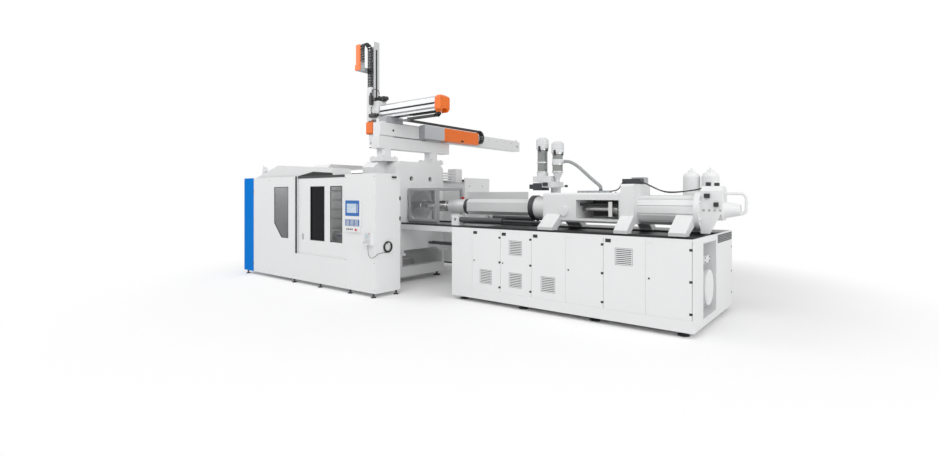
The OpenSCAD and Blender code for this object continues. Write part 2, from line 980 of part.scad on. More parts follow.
module mould_bolts(x) {
    for (y = about(0, 2 * 1), z = about(0, 2 * 1))
        bar_x(mould_bolt_d, x, y * mould_bolt_pitch / 2, axis_z + z * mould_bolt_pitch / 2);
}

// Valve block of the clamp, carried by its pipes from the platen's rear side
module valve_block() {
    x = fixed_x1 - valve_back;
    y = fixed_step_y + valve_out;
    z = platen_z1 - valve_top;
    span([x - valve_len, x], [y, y + valve_w], [z - valve_h, z]);
    for (i = [0:valve_pipes - 1])
        bar_y(valve_pipe_d, x - valve_len / 2, [fixed_step_y - cut, y + cut],
            z - valve_h + valve_pipe_d + i * valve_pipe_pitch);
}

module fixed_platen() placed() color("whitesmoke") difference() {
    union() {
        platen_block([fixed_x0, fixed_x1 - fixed_step_len], platen_y);
        platen_block([fixed_x0 + cut, fixed_x1], fixed_step_y);
        both_sides() span([fixed_x0, fixed_x1], about(bed_y, bed_w), [bed_z1, platen_z0 + cut]);
        valve_block();
    }
    for (p = tie_bar_places())
        bar_x(tie_bar_d + 2 * fit_gap, [fixed_x0 - cut, fixed_x1 - tie_bar_cover], p[0], p[1]);
    translate([fixed_x1, 0, axis_z]) rotate([0, -quarter, 0])
        cylinder(d1 = cone_mouth_d, d2 = locating_d, h = fixed_platen_t - cone_neck);
    bar_x(locating_d, past(fixed_x0, fixed_x0 + cone_neck), 0, axis_z);
    mould_bolts([fixed_x0 - cut, fixed_x0 + mould_bolt_depth]);
    both_sides() bar_x(vent_d, [fixed_x1 - vent_depth, fixed_x1 + cut], vent_y, axis_z + vent_z);
}

// Tie bar turned from one bar, with locking grooves behind the moving platen
module tie_bar() {
    r = tie_bar_d / 2;
    len = fixed_x1 - tie_bar_cover - run_gap - tie_bar_x0;
    grooves = [for (i = [0:tie_bar_grooves - 1])
        let (z = tie_bar_groove_back + i * tie_bar_groove_pitch)
        each [[r, z], [r - tie_bar_groove_depth, z], [r - tie_bar_groove_depth, z + tie_bar_groove_w],
            [r, z + tie_bar_groove_w]]];
    rotate([0, quarter, 0]) rotate_extrude()
        polygon(concat([[0, 0], [r, 0]], grooves, [[r, len], [0, len]]));
}

module tie_bars() placed() color("silver") {
    for (p = tie_bar_places()) translate([tie_bar_x0, p[0], p[1]]) tie_bar();
}

module moving_platen() placed() color("whitesmoke") difference() {
    union() {
        platen_block([moving_x0, moving_x1], platen_y);
        both_sides()
            span([(moving_x0 + moving_x1 - shoe_len) / 2, (moving_x0 + moving_x1 + shoe_len) / 2],
                about(bed_y, shoe_w),
                [bed_z1 + platen_rail_h + run_gap, platen_z0 + cut]);
        span([moving_x0 + stroke_lug_in, moving_x0 + stroke_lug_in + stroke_lug_t],
            about(0, stroke_lug_w), [stroke_z - stroke_rod_d, platen_z0 + cut]);
    }
    for (p = tie_bar_places()) bar_x(tie_bar_d + 2 * fit_gap, past(moving_x0, moving_x1), p[0], p[1]);
    mould_bolts([moving_x1 - mould_bolt_depth, moving_x1 + cut]);
    for (y = about(0, 2 * 1), z = about(0, 2 * 1))
        bar_x(ejector_rod_d + 2 * fit_gap, past(moving_x0, moving_x1),
            y * ejector_pitch / 2, axis_z + z * ejector_pitch / 2);
    for (k = platen_slots)
        span([moving_x1 - platen_t_slot_depth, moving_x1 + cut], past(-platen_y, platen_y),
            [axis_z + k * platen_t_slot_pitch - platen_t_slot_w / 2,
                axis_z + k * platen_t_slot_pitch + platen_t_slot_w / 2]);
    bar_x(stroke_rod_d, past(moving_x0 + stroke_lug_in, moving_x0 + stroke_lug_in + stroke_lug_t), 0,
        stroke_z);
}

// Locks that grip the tie bars, and the rod that drives the platen
module tie_bar_locks() placed() color("lightgray") {
    for (p = tie_bar_places()) difference() {
        plate_yz(cut_corners(about(p[0], lock_d), about(p[1], lock_d),
            lock_d * lock_cut_share), [moving_x0 - lock_len, moving_x0]);
        bar_x(tie_bar_d + 2 * fit_gap, past(moving_x0 - lock_len, moving_x0), p[0], p[1]);
    }
    bar_x(stroke_rod_d, [bed_x0 + bed_tie_w / 2, moving_x0 + stroke_lug_in + stroke_lug_t], 0, stroke_z);
}

// Cylinder tubes: one drives the platen, two draw the injection unit to the platen
module drive_cylinders() placed() color("slategray") {
    difference() {
        bar_x(stroke_tube_d, [bed_x0, bed_x0 + stroke_tube_len], 0, stroke_z);
        bar_x(stroke_rod_d + 2 * fit_gap, past(bed_x0 + bed_tie_w / 2, bed_x0 + stroke_tube_len), 0,
            stroke_z);
    }
    both_sides() difference() {
        bar_x(carriage_tube_d, [carriage_tube_x0, carriage_tube_x0 + carriage_tube_len], rail_y,
            carriage_z);
        bar_x(carriage_rod_d + 2 * fit_gap,
            [carriage_tube_x0 + carriage_tube_len - carriage_gland,
                carriage_tube_x0 + carriage_tube_len + cut],
            rail_y, carriage_z);
    }
}

module ejector() placed() color("silver") {
    x = moving_x0 - ejector_back - ejector_plate_t;
    plate_yz(cut_corners(about(0, ejector_plate_side),
        about(axis_z, ejector_plate_side), ejector_rod_d), [x, x + ejector_plate_t]);
    for (y = about(0, 2 * 1), z = about(0, 2 * 1))
        bar_x(ejector_rod_d, [x + ejector_plate_t, moving_x1 - cut], y * ejector_pitch / 2,
            axis_z + z * ejector_pitch / 2);
}

// Outline of the window in the fixed panel, with its lower corner cut
function guard_window() = [
    [guard_win_x0, win_z + guard_win_cut_h], [guard_win_x0 + guard_win_cut_w, win_z],
    [guard_win_x1, win_z], [guard_win_x1, win_z1], [guard_win_x0, win_z1]
];

module front_guard_left() placed() color("gainsboro") difference() {
    span([guard_x0, gate_x0], [front_y, inner_y], [foot_h, guard_h]);
    plate_xz(guard_window(), past(front_y, inner_y));
}

module guard_pane() placed() color("lightslategray", 0.4) {
    plate_xz(guard_window(), [(front_y + inner_y - pane_t) / 2, (front_y + inner_y + pane_t) / 2]);
}

module front_guard_sill() placed() color("gainsboro") {
    span([gate_x0, gate_x1], [front_y, inner_y], [foot_h, sill_h]);
}

// Boxed column with the control panel on its front
module control_column() placed() color("gainsboro") {
    span([gate_x1, 0], [front_y, inner_y], [foot_h, guard_h]);
    span([-guard_sheet, 0], [inner_y, front_y + column_depth], [foot_h, guard_h]);
    span([gate_x1 + gate_overlap, -guard_sheet], [inner_y, front_y + column_depth],
        [guard_h - guard_sheet, guard_h]);
}

module gate_windows(y) {
    span([gate_win_a_x0, gate_win_a_x1], y, [win_z, win_z1]);
    span([gate_win_b_x0, gate_win_b_x1], y, [win_z, win_z1]);
}

// A gate leaf with the tongue that hangs in its rail
module gate_leaf(z0) {
    mid = (gate_y0 + gate_y1) / 2;
    span([gate_x0 - gate_overlap, gate_x1 + gate_overlap - run_gap], [gate_y0, gate_y1], [z0, gate_z1]);
    span([gate_x0 - gate_overlap, gate_x1 + gate_overlap - run_gap], about(mid, gate_tongue_w),
        [gate_z1 - cut, gate_z1 + gate_tongue_h]);
}

module gate_pull() {
    x = gate_x0 + pull_in;
    difference() {
        children();
        span(about(x, pull_w), [gate_y0 - cut, gate_y0 + pull_depth],
            about(pull_z, pull_h));
    }
    bar_z(pull_bar_d, x, gate_y0 + pull_bar_d / 2, about(pull_z, pull_h));
}

module front_gate() placed() color("gainsboro") gate_pull() difference() {
    gate_leaf(gate_z0);
    gate_windows(past(gate_y0, gate_y1));
}

module gate_panes() placed() color("lightslategray", 0.4) {
    gate_windows([(gate_y0 + gate_y1 - pane_t) / 2, (gate_y0 + gate_y1 + pane_t) / 2]);
}

module rear_gate() placed() color("gainsboro") mirror([0, 1, 0]) gate_pull() gate_leaf(rear_gate_z0);

// Low sheet hood over the front of the clamp
function roof_outline(drop) = [
    [-roof_x0, guard_h - drop], [-roof_x1, guard_h - drop],
        [-roof_ridge_x1, guard_h + roof_rise_end - drop],
    [-roof_ridge_x0, guard_h + roof_rise - drop]
];

module roof_cover() placed() color("white") difference() {
    plate_xz(roof_outline(0), [inner_y + roof_y0, inner_y + roof_y0 + roof_depth]);
    plate_xz(roof_outline(guard_sheet),
        [inner_y + roof_y0 + guard_sheet, inner_y + roof_y0 + roof_depth + cut]);
}

module end_panel() placed() color("dodgerblue") {
    span([end_x0, guard_x0], [front_y, inner_y], [foot_h, guard_h]);
    span([end_x0, end_x0 + guard_sheet], [front_y, front_y + end_return], [foot_h, guard_h]);
}

module rear_guard() placed() color("gainsboro") {
    span([end_x0, end_x0 + guard_sheet], [front_y + end_return, guard_y], [foot_h, guard_h]);
    span([end_x0, gate_x0], [guard_y - guard_sheet, guard_y], [foot_h, guard_h]);
}

// Rear column beside the fixed platen and the fence between it and the injection base
module rear_guard_end() placed() color("gainsboro") {
    span([gate_x1, rear_x1], [guard_y - guard_sheet, guard_y], [foot_h, guard_h]);
    span([rear_x1 - guard_sheet, rear_x1], [rear_column_y0, guard_y], [foot_h, guard_h]);
    span([rear_x1, rear_fence_x1], [rear_fence_y, rear_fence_y + guard_sheet],
        [rear_fence_z0, rear_fence_z1]);
}

module control_panel() placed() color("white") {
    x = -panel_x0;
    y = front_y - panel_t;
    difference() {
        plate_xz(cut_corners([x, x + panel_w], [panel_z0, panel_z0 + panel_h], panel_bezel), [y, front_y]);
        bar_y(estop_stem_d + 2 * fit_gap, x + panel_w - estop_in, [y - cut, front_y - cut],
            panel_z0 + estop_z);
    }
    difference() {
        span([x + panel_field_in, x + panel_w - panel_field_in], [y - panel_field_t, y],
            [panel_z0 + panel_h - screen_top - screen_h - screen_in, panel_z0 + panel_h - panel_field_in]);
        span([x + screen_in, x + screen_in + screen_w], [y - panel_field_t - cut, y],
            [panel_z0 + panel_h - screen_top - screen_h, panel_z0 + panel_h - screen_top]);
    }
    span([x + panel_field_in, x + panel_w - panel_field_in], [y - panel_field_t, y],
        [panel_z0 + keypad_z, panel_z0 + keypad_z + keypad_h]);
}

// Mushroom button that stays clear of the panel by its own travel
module emergency_stop() placed() color("red") {
    y = front_y - panel_t;
    translate([-panel_x0 + panel_w - estop_in, y, panel_z0 + estop_z]) rotate([quarter, 0, 0])
        rotate_extrude()
        polygon([[0, -estop_stem_in], [estop_stem_d / 2, -estop_stem_in],
            [estop_stem_d / 2, estop_travel + run_gap], [estop_d / 2, estop_travel + run_gap],
            [estop_d / 2, estop_h * estop_rim_share], [estop_d * estop_crown_share, estop_h],
                [0, estop_h]]);
}

// Bracket that holds the pendant, and the hook for its coiled cable
module pendant_holder() placed() color("darkgray") {
    x = -holder_x0;
    difference() {
        union() {
            span([x, x + holder_w], [front_y - holder_t, front_y], [holder_z0, holder_z0 + holder_h]);
            span([x, x + holder_w], [front_y - holder_lip, front_y], [holder_z0, holder_z0 + holder_t]);
            span([x + holder_w - holder_side, x + holder_w], [front_y - holder_lip, front_y],
                [holder_z0, holder_z0 + holder_h]);
            span([x, x + holder_side], [front_y - holder_lip, front_y],
                [holder_z0, holder_z0 + holder_h * holder_cheek_share]);
        }
        bar_z(pendant_gland_d + pendant_corner, pendant_x, pendant_gland_y,
            past(holder_z0, holder_z0 + holder_t));
    }
    bar_x(hook_d, [0, hook_len], coil_y, hook_z);
    bar_x(hook_cap_d, [hook_len, hook_len + hook_cap_t], coil_y, hook_z);
}

module pendant() placed() color("whitesmoke") {
    y = front_y - holder_t;
    z = holder_z0 + holder_t;
    difference() {
        plate_xz(cut_corners(about(pendant_x, pendant_w), [z, z + pendant_h], pendant_corner),
            [y - pendant_t, y]);
        span(about(pendant_x, pendant_screen_w), [y - pendant_t - cut, y - pendant_t + pendant_screen_t],
            [z + pendant_h / 2, z + pendant_h / 2 + pendant_screen_h]);
    }
    bar_z(pendant_gland_d, pendant_x, pendant_gland_y, [holder_z0, z]);
}

module pendant_cable() placed() color("gray") tube_along(pendant_cable_route, cable_d, cable_sides);

module pendant_cable_coil() placed() color("black") {
    translate([coil_x, coil_y, coil_z]) rotate([0, quarter, 0])
        rotate_extrude() translate([coil_mean_d / 2, 0]) circle(d = coil_bundle_d);
}

// Frame of square tube around the nozzle, with the hinge pins of its door
module nozzle_guard() placed() color("darkgray") {
    x = [fixed_x1, nozzle_x1];
    t = nozzle_tube;
    difference() {
        span(x, about(0, 2 * nozzle_y), [nozzle_z0, nozzle_z1]);
        span([x[0] + t, x[1] - t], [0, nozzle_y + cut], [nozzle_z0 + t, nozzle_z1 - t]);
        span([x[0] + t, x[1] - t], [-nozzle_y - cut, 0], [nozzle_door_z0, nozzle_z1 - t]);
        span([x[0] - cut, x[1] + cut], [-nozzle_y + t, nozzle_y - t], [nozzle_z0 + t, nozzle_z1 - t]);
        span([x[0] + t, x[1] - t], [-nozzle_y + t, nozzle_y - t],
            [nozzle_z0 - cut, nozzle_z1 - nozzle_sheet]);
    }
    for (z = nozzle_hinge_rows) {
        span(about(x[0] + nozzle_hinge_in, nozzle_hinge_d),
            [nozzle_hinge_y - nozzle_hinge_d / 2, -nozzle_y], [z - nozzle_knuckle, z - run_gap]);
        bar_z(nozzle_pin_d, x[0] + nozzle_hinge_in, nozzle_hinge_y,
            [z - nozzle_knuckle, z + nozzle_knuckle]);
    }
}

module nozzle_guard_door() placed() color("darkgray") {
    x = [fixed_x1 + nozzle_hinge_in, nozzle_x1 - nozzle_door_gap];
    y = [-nozzle_y - nozzle_door_gap - nozzle_tube * nozzle_door_share, -nozzle_y - nozzle_door_gap];
    z = [nozzle_door_z0, nozzle_z1 - nozzle_door_gap];
    difference() {
        union() {
            span([x[0] + nozzle_hinge_d, x[1]], y, z);
            for (h = nozzle_hinge_rows) {
                bar_z(nozzle_hinge_d, x[0], nozzle_hinge_y, [h, h + nozzle_knuckle]);
                span([x[0], x[0] + nozzle_hinge_d + cut], about(nozzle_hinge_y, nozzle_pin_d),
                    [h, h + nozzle_knuckle]);
            }
        }
        span([x[0] + nozzle_hinge_d + nozzle_tube, x[1] - nozzle_tube], [y[0] - cut, y[1] + cut],
            [z[0] + nozzle_tube, z[1] - nozzle_tube]);
        for (h = nozzle_hinge_rows)
            bar_z(nozzle_pin_d + 2 * fit_gap, x[0], nozzle_hinge_y, past(h, h + nozzle_knuckle));
    }
    bar_y(nozzle_knob_d, x[1] - nozzle_tube / 2, [y[0] - nozzle_knob_l, y[0]], (z[0] + z[1]) / 2);
}

module nozzle_guard_pane() placed() color("lightslategray", 0.4) {
    x = [fixed_x1 + nozzle_hinge_in + nozzle_hinge_d + nozzle_tube,
        nozzle_x1 - nozzle_door_gap - nozzle_tube];
    y = -nozzle_y - nozzle_door_gap - nozzle_tube * nozzle_door_share / 2;
    span(x, about(y, nozzle_pane_t),
        [nozzle_door_z0 + nozzle_tube, nozzle_z1 - nozzle_door_gap - nozzle_tube]);
}

// Consoles, columns and plinth on the fixed platen, with the traverse beam and its chain tray
module robot_frame() placed() color("whitesmoke") {
    both_sides() {
        span(about(robot_x, console_len), about(column_y, console_w),
            [platen_z1, platen_z1 + console_h]);
        translate([robot_x, column_y, platen_z1 + console_h])
            linear_extrude(plinth_z - platen_z1 - console_h)
            polygon(cut_corners(about(0, column_side), about(0, column_side), column_corner));
        span(about(robot_x, plinth_pad_w),
            about(column_y, plinth_pad_len), [plinth_z + plinth_body_h, traverse_z0]);
    }
    span(about(robot_x, plinth_w), [-plinth_front, plinth_rear], [plinth_z, plinth_z + plinth_body_h]);
    span(about(robot_x, traverse_w), [traverse_y0, traverse_y1], [traverse_z0, traverse_z1]);
    for (s = about(0, 2 * 1)) span(about(robot_x + s * traverse_rail_y, traverse_rail_w),
        [traverse_y0 + stop_d, traverse_y1 - stop_d], [traverse_z1, traverse_z1 + traverse_rail_h]);
    for (y = [traverse_y0 + stop_d / 2, traverse_y1 - stop_d / 2])
        bar_z(stop_d, robot_x, y, [traverse_z1, traverse_z1 + stop_h]);
    chain_channel([tray_y0, tray_y1]);
}

// Channel beside the beam that the lower run of the traverse chain lies in
module chain_channel(y) {
    x = robot_x + traverse_w / 2;
    z = traverse_z0 + tray_z0;
    difference() {
        span([x, x + tray_w], y, [z, z + tray_h]);
        span([x, x + tray_w - tray_wall], [y[0] - cut, y[1] + cut],
            [z + tray_wall, z + tray_h - tray_wall]);
    }
}

module chain_cover() placed() color("darkorange") chain_channel([tray_y1, chain_cover_y1]);

// Chain loop: straight runs and a half round end, with gaps between its links; points are along and up
module chain_loop(runs, h, link) {
    r = h / 2;
    difference() {
        linear_extrude(chain_w) difference() {
            union() {
                translate([0, r]) circle(r);
                translate([-max(runs), 0]) square([max(runs), h]);
            }
            translate([0, r]) circle(r - chain_t);
            translate([-max(runs) - cut, chain_t]) square([max(runs) + cut, h - 2 * chain_t]);
            translate([-max(runs) - cut, h - chain_t - cut])
                square([max(runs) - runs[1] + cut, chain_t + 2 * cut]);
            translate([-max(runs) - cut, -cut]) square([max(runs) - runs[0] + cut, chain_t + cut]);
        }
        for (k = [1:floor(runs[0] / link)]) chain_notch(-k * link, 0);
        for (k = [1:floor(runs[1] / link)]) chain_notch(-k * link, h);
    }
}

// Groove between two links on the outside of a run
module chain_notch(x, y) {
    translate([x, y, chain_w / 2])
        cube([chain_notch_w, 2 * chain_notch_depth, chain_w + 2 * cut], center = true);
}

module traverse_chain() placed() color("black") {
    y = traverse_loop_y - traverse_chain_h / 2;
    translate([robot_x + traverse_w / 2 + chain_side, y, traverse_chain_z]) rotate([quarter, 0, quarter])
        chain_loop([y - tray_y0 - chain_in, y - carriage_y - carriage_len / 2 - run_gap],
            traverse_chain_h, chain_link);
}

// Carriage on the traverse beam, with the tongue that the kick chain is fixed to
module traverse_carriage() placed() color("lightgray") {
    z0 = traverse_z1 + traverse_rail_h + run_gap;
    z1 = z0 + carriage_plate_h;
    y = about(carriage_y, carriage_len);
    span([carriage_x0, carriage_x1], y, [z0, z1]);
    for (s = about(0, 2 * 1)) {
        x = robot_x + s * (traverse_rail_y + traverse_rail_w / 2 + run_gap + carriage_lip / 2);
        span(about(x, carriage_lip), y, [z0 - traverse_rail_h * carriage_lip_share, z0 + cut]);
        w = carriage_y + s * (kick_rail_y + kick_rail_w / 2 + run_gap + carriage_lip / 2);
        span([carriage_x0, carriage_x1], about(w, carriage_lip),
            [z1 - cut, z1 + kick_rail_h * carriage_lip_share]);
    }
    x1 = robot_x + traverse_w / 2 + chain_side - run_gap;
    z = traverse_chain_z + traverse_chain_h - chain_t;
    span([x1 - chain_lug_w, x1], [y[1] - cut, y[1] + chain_lug],
        [z + chain_lug_in, z + chain_t - chain_lug_in]);
    t = kick_chain_y + chain_w / 2 + run_gap;
    span([carriage_x1 - cut, kick_chain_x0 + tongue_over], [t, t + tongue_w],
        [kick_chain_z + tongue_in, kick_chain_z + chain_t - tongue_in]);
}

// Extruded beam with a belt groove in each side and two rails under it
module kick_beam() placed() color("silver") {
    difference() {
        plate_yz(cut_corners(about(carriage_y, kick_w), [kick_z0, kick_z1], kick_chamfer),
            [kick_x0, kick_x1]);
        for (s = about(0, 2 * 1)) span(past(kick_x0, kick_x1),
            [carriage_y + s * kick_w / 2 - kick_groove_depth,
                carriage_y + s * kick_w / 2 + kick_groove_depth],
            [kick_z0 + kick_groove_z, kick_z0 + kick_groove_z + kick_groove_h]);
    }
    for (s = about(0, 2 * 1)) span([kick_x0, kick_x1],
        about(carriage_y + s * kick_rail_y, kick_rail_w),
        [kick_z0 - kick_rail_h, kick_z0 + cut]);
}

// Moulded cap over the end of the beam, open below for the chain
module kick_end_cap() placed() color("darkorange") difference() {
    plate_yz(cut_corners([carriage_y - kick_w / 2 - cap_side, carriage_y + kick_w / 2 + cap_side],
        [kick_z0 - cap_drop, kick_z1 + cap_side], cap_chamfer), [kick_x1, kick_x1 + cap_len]);
    span(past(kick_x1, kick_x1 + cap_len),
        [kick_chain_y - chain_w / 2 - cap_side, kick_chain_y + chain_w / 2 + cap_side],
            [kick_z0 - cap_drop - cut, kick_z0]);
    translate([kick_x1 + cap_len, carriage_y, kick_z1 + cap_side]) rotate([0, cap_rake, 0])
        cube([cap_len, kick_w + cap_len, cap_chamfer], center = true);
}

module kick_chain() placed() color("black") {
    x = kick_x1 - kick_chain_h / 2;
    translate([x, kick_chain_y + chain_w / 2, kick_chain_z]) rotate([quarter, 0, 0])
        chain_loop([x - kick_chain_x0, x - kick_chain_x0 - kick_chain_over], kick_chain_h, chain_link);
}

// Saddle on the kick beam's end that guides the arm, with the trough of the arm's chain
module arm_carriage() placed() color("white") {
    x = arm_x + arm_side / 2 + run_gap;
    span([x, kick_x0], [trough_y0, arm_y + arm_side / 2], [saddle_z0, saddle_z1]);
    span(past(trough_x1, x), [trough_y0, trough_y1], [saddle_z0, saddle_z1]);
    difference() {
        span([trough_x0, trough_x1], [trough_y0, trough_y1], [trough_z0, trough_z1]);
        span([trough_x0 + trough_wall, trough_x1 - trough_wall],
            [trough_y0 + trough_wall, trough_y1 - trough_wall],
            past(trough_z0, trough_z1));
    }
}

// One servo motor with a stepped cap, standing along X
module servo(side, len) {
    plate_yz(cut_corners(about(0, side), about(0, side), side * motor_cut_share), [0, len]);
    bar_x(side * motor_cap_share, [len, len + motor_cap_len], 0, 0);
    span([len * motor_plug_share, len * motor_plug_share + side * motor_plug_w_share],
        [-side * motor_plug_w_share / 2, side * motor_plug_w_share / 2],
            [side / 2 - cut, side / 2 + side * motor_plug_w_share]);
}

module servo_motors() placed() color("dimgray") {
    x = arm_x + arm_side / 2 + run_gap;
    translate([x, arm_y, saddle_z1 + motor_side / 2]) servo(motor_side, motor_len);
    translate([x, trough_y0 - motor_small_side / 2, saddle_z0 + motor_small_side])
        servo(motor_small_side, motor_len * motor_short_share);
    translate([x + motor_small_side / 2, trough_y0 - motor_small_side / 2, saddle_z1 - motor_small_side])
        rotate([0, -quarter, 0])
        servo(motor_small_side, motor_len * motor_short_share);
}

// Square arm with a belt slot on its front, a cap on top and a fork for the wrist
module robot_arm() placed() color("silver") {
    r = arm_side / 2;
    difference() {
        span([arm_x - r, arm_x + r], [arm_y - r, arm_y + r], [arm_z0, arm_z1]);
        span([arm_x - r + arm_wall, arm_x + r - arm_wall], [arm_y - r + arm_wall, arm_y + r - arm_wall],
            [arm_z0 + arm_wall, arm_z1 - arm_wall]);
        span([arm_x + r - arm_slot_depth, arm_x + r + cut],
            [arm_y + r - arm_slot_in - arm_slot_w, arm_y + r - arm_slot_in],
            [arm_slot_z0, arm_slot_z1]);
    }
    for (s = about(0, 2 * 1)) difference() {
        span(about(arm_x, wrist_d),
            [arm_y + s * (r - wrist_ear / 2) - wrist_ear / 2,
                arm_y + s * (r - wrist_ear / 2) + wrist_ear / 2],
            [wrist_z - wrist_axle_d, arm_z0 + cut]);
        bar_y(wrist_axle_d + 2 * fit_gap, arm_x, [arm_y - arm_side, arm_y + arm_side], wrist_z);
    }
}

module arm_chain() placed() color("black") {
    z = arm_chain_top - arm_chain_h / 2;
    translate([arm_x - chain_w / 2, arm_y - arm_side / 2 - arm_chain_gap, z])
        rotate([quarter, 0, quarter]) rotate([0, 0, quarter])
        chain_loop([z - arm_chain_inner_z0, z - arm_chain_outer_z0], arm_chain_h, chain_link);
}

// Hood over the chain's outer end with its bracket, and the cover at the arm's lower end
module arm_covers() placed() color("darkorange") {
    r = arm_side / 2;
    y = arm_y - r - arm_chain_gap - arm_chain_h;
    span(about(arm_x, chain_w), [y - hood_gap - hood_t, y - hood_gap], [hood_z0, hood_z1]);
    span([arm_x - r - hood_bracket_t, arm_x + chain_w / 2], [y - hood_gap - hood_t, y + chain_t],
        [hood_z0, arm_chain_outer_z0 - run_gap - hood_gap]);
    span(about(arm_x, chain_w), [y, y + chain_t],
        [arm_chain_outer_z0 - hood_gap - cut, arm_chain_outer_z0 - run_gap]);
    span([arm_x - r - hood_bracket_t, arm_x - r], [y - hood_gap - hood_t, arm_y],
        [hood_z0, arm_chain_outer_z0 - run_gap - hood_gap]);
    plate_yz(cut_corners([arm_y - r - lower_cover_t, arm_y - r], [lower_cover_z0, lower_cover_z1],
        lower_cover_t * lower_cut_share),
        about(arm_x, lower_cover_w));
}

// Pivot at the arm's end with a drilled plate for a gripper
module wrist() placed() color("black") {
    half_w = arm_side / 2 - wrist_ear - run_gap;
    difference() {
        union() {
            bar_y(wrist_d * wrist_body_share, arm_x, [arm_y - half_w, arm_y + half_w], wrist_z);
            bar_y(wrist_axle_d, arm_x, about(arm_y, arm_side), wrist_z);
            span(about(arm_x, wrist_axle_d), [arm_y - half_w, arm_y + half_w],
                [wrist_z - wrist_h - wrist_plate_t, wrist_z]);
            span(about(arm_x, wrist_plate), about(arm_y, wrist_plate),
                [wrist_z - wrist_h - 2 * wrist_plate_t, wrist_z - wrist_h - wrist_plate_t]);
        }
        for (k = [0:3]) translate([arm_x, arm_y, 0]) rotate([0, 0, k * quarter + quarter / 2])
            bar_z(wrist_bolt_d, wrist_bolt_pcd / 2, 0,
                past(wrist_z - wrist_h - 2 * wrist_plate_t, wrist_z - wrist_h - wrist_plate_t));
    }
}

// Edge k of the row of doors and panels, counted from the right
function edge(k) = door_x1 - k * door_pitch;

// Slots of a louvre in field k
module louvre(k, z) {
    x = edge(k + 1) + louvre_in;
    for (i = [0:louvre_slats - 1])
        span([x, x + louvre_w], [-base_y - cut, -base_y + louvre_depth],
            [z + i * louvre_h / louvre_slats, z + i * louvre_h / louvre_slats + louvre_slot_h]);
}

// Recessed latch in field k
module latch(k) {
    x = edge(k + 1) + latch_in;
    span([x, x + latch_w], [-base_y - cut, -base_y + latch_depth], about(latch_z, latch_h));
}

// Pins above and below door k
module door_pins(k, d, l) {
    x = edge(k) - door_pin_in;
    y = -base_y + door_t / 2;
    bar_z(d, x, y, [door_z0 - cut, door_z0 + l]);
    bar_z(d, x, y, [door_z1 - l, door_z1 + cut]);
}

module injection_base() placed() color("white") {
    difference() {
        span([base_x0, base_x1], about(0, 2 * base_y), [foot_h, base_h]);
        span([base_x0 - cut, base_x1 - base_wall], [-base_y + base_wall, base_y - base_wall],
            [deck_z, base_h + cut]);
        for (k = door_slots) {
            span([edge(k + 1), edge(k)], [-base_y - cut, -base_y + door_t + run_gap],
                [door_z0 - run_gap, door_z1 + run_gap]);
            span([edge(k + 1) + divider_w, edge(k) - divider_w], [-base_y, -base_y + cabinet_depth],
                [door_z0 + divider_w, deck_z - divider_w]);
        }
        for (k = [0:6]) span([edge(k) - door_seam, edge(k)], [-base_y - cut, -base_y + seam_depth],
            [skirt_z, door_z1]);
        span(past(base_x0, base_x1), [-base_y - cut, -base_y + seam_depth],
            [skirt_z, skirt_z + door_gap - run_gap]);
        louvre(3, louvre_low_z);
        louvre(1, louvre_high_z);
        latch(3);
        latch(1);
        span([base_x1 - recess_depth, base_x1 + cut], [recess_y0, recess_y1], [recess_z0, recess_z1]);
        for (i = [0:end_slots - 1])
            span([base_x1 - louvre_depth, base_x1 + cut], [recess_y1 + recess_pipe_r, base_y - base_wall],
                [base_h - grille_h + i * end_slot_pitch,
                    base_h - grille_h + i * end_slot_pitch + end_slot_h]);
    }
    for (k = door_slots) door_pins(k, door_pin_d, door_pin_len - cut);
}

// Door in field k: a slab with a round hinge edge that turns on two pins
module cabinet_door(k) {
    x = edge(k) - door_pin_in;
    difference() {
        union() {
            span([edge(k) - door_w, x], [-base_y, -base_y + door_t], [door_z0, door_z1]);
            bar_z(door_t, x, -base_y + door_t / 2, [door_z0, door_z1]);
        }
        door_pins(k, door_pin_d + 2 * fit_gap, door_pin_len);
        bar_y(lock_hole_d, edge(k + 1) + lock_in, [-base_y - cut, -base_y + latch_depth], lock_z);
        children();
    }
}

module cabinet_door_1() placed() color("white") cabinet_door(5) {
    louvre(5, louvre_low_z);
    latch(5);
}

module cabinet_door_2() placed() color("white") cabinet_door(4) {
    louvre(4, louvre_low_z);
    louvre(4, louvre_high_z);
    latch(4);
}

module cabinet_door_3() placed() color("white") cabinet_door(2) latch(2);

module cabinet_door_4() placed() color("white") cabinet_door(0) latch(0);

// Foot that carries the injection unit on its rails, from the side w of the body above
module unit_foot(w, top, x) {
    z = rail_z1 + run_gap;
    both_sides() plate_yz([[w - foot_root, unit_z0], [foot_y0, z + foot_pad_h / 2], [foot_y0, z],
        [foot_y1, z],
        [foot_y1, z + foot_pad_h], [w, top], [w - foot_root, top]], x);
}

// Casting that the barrel is clamped in
module feed_housing() placed() color("white") difference() {
    union() {
        plate_yz(cut_corners(about(0, 2 * unit_y), [unit_z0, unit_z1], unit_chamfer), [feed_x0, feed_x1]);
        bar_x(round_d, [feed_x0 - round_len, feed_x0 + cut], 0, axis_z);
        both_sides() bar_y(feed_boss_d, feed_x0 + feed_boss_x, [unit_y - cut, unit_y + feed_boss_t],
            axis_z + feed_boss_z);
        unit_foot(unit_y, foot_slope_z, [feed_x0 + feed_foot_in, feed_x0 + feed_foot_in + feed_foot_w]);
    }
    bar_x(barrel_d + 2 * fit_gap, [feed_x0 - round_len - cut, feed_x0 + barrel_in], 0, axis_z);
    bar_x(shank_d + 2 * fit_gap, [feed_x0, feed_x1 + cut], 0, axis_z);
    bar_z(throat_d, throat_x, 0, [axis_z, unit_z1 + cut]);
}

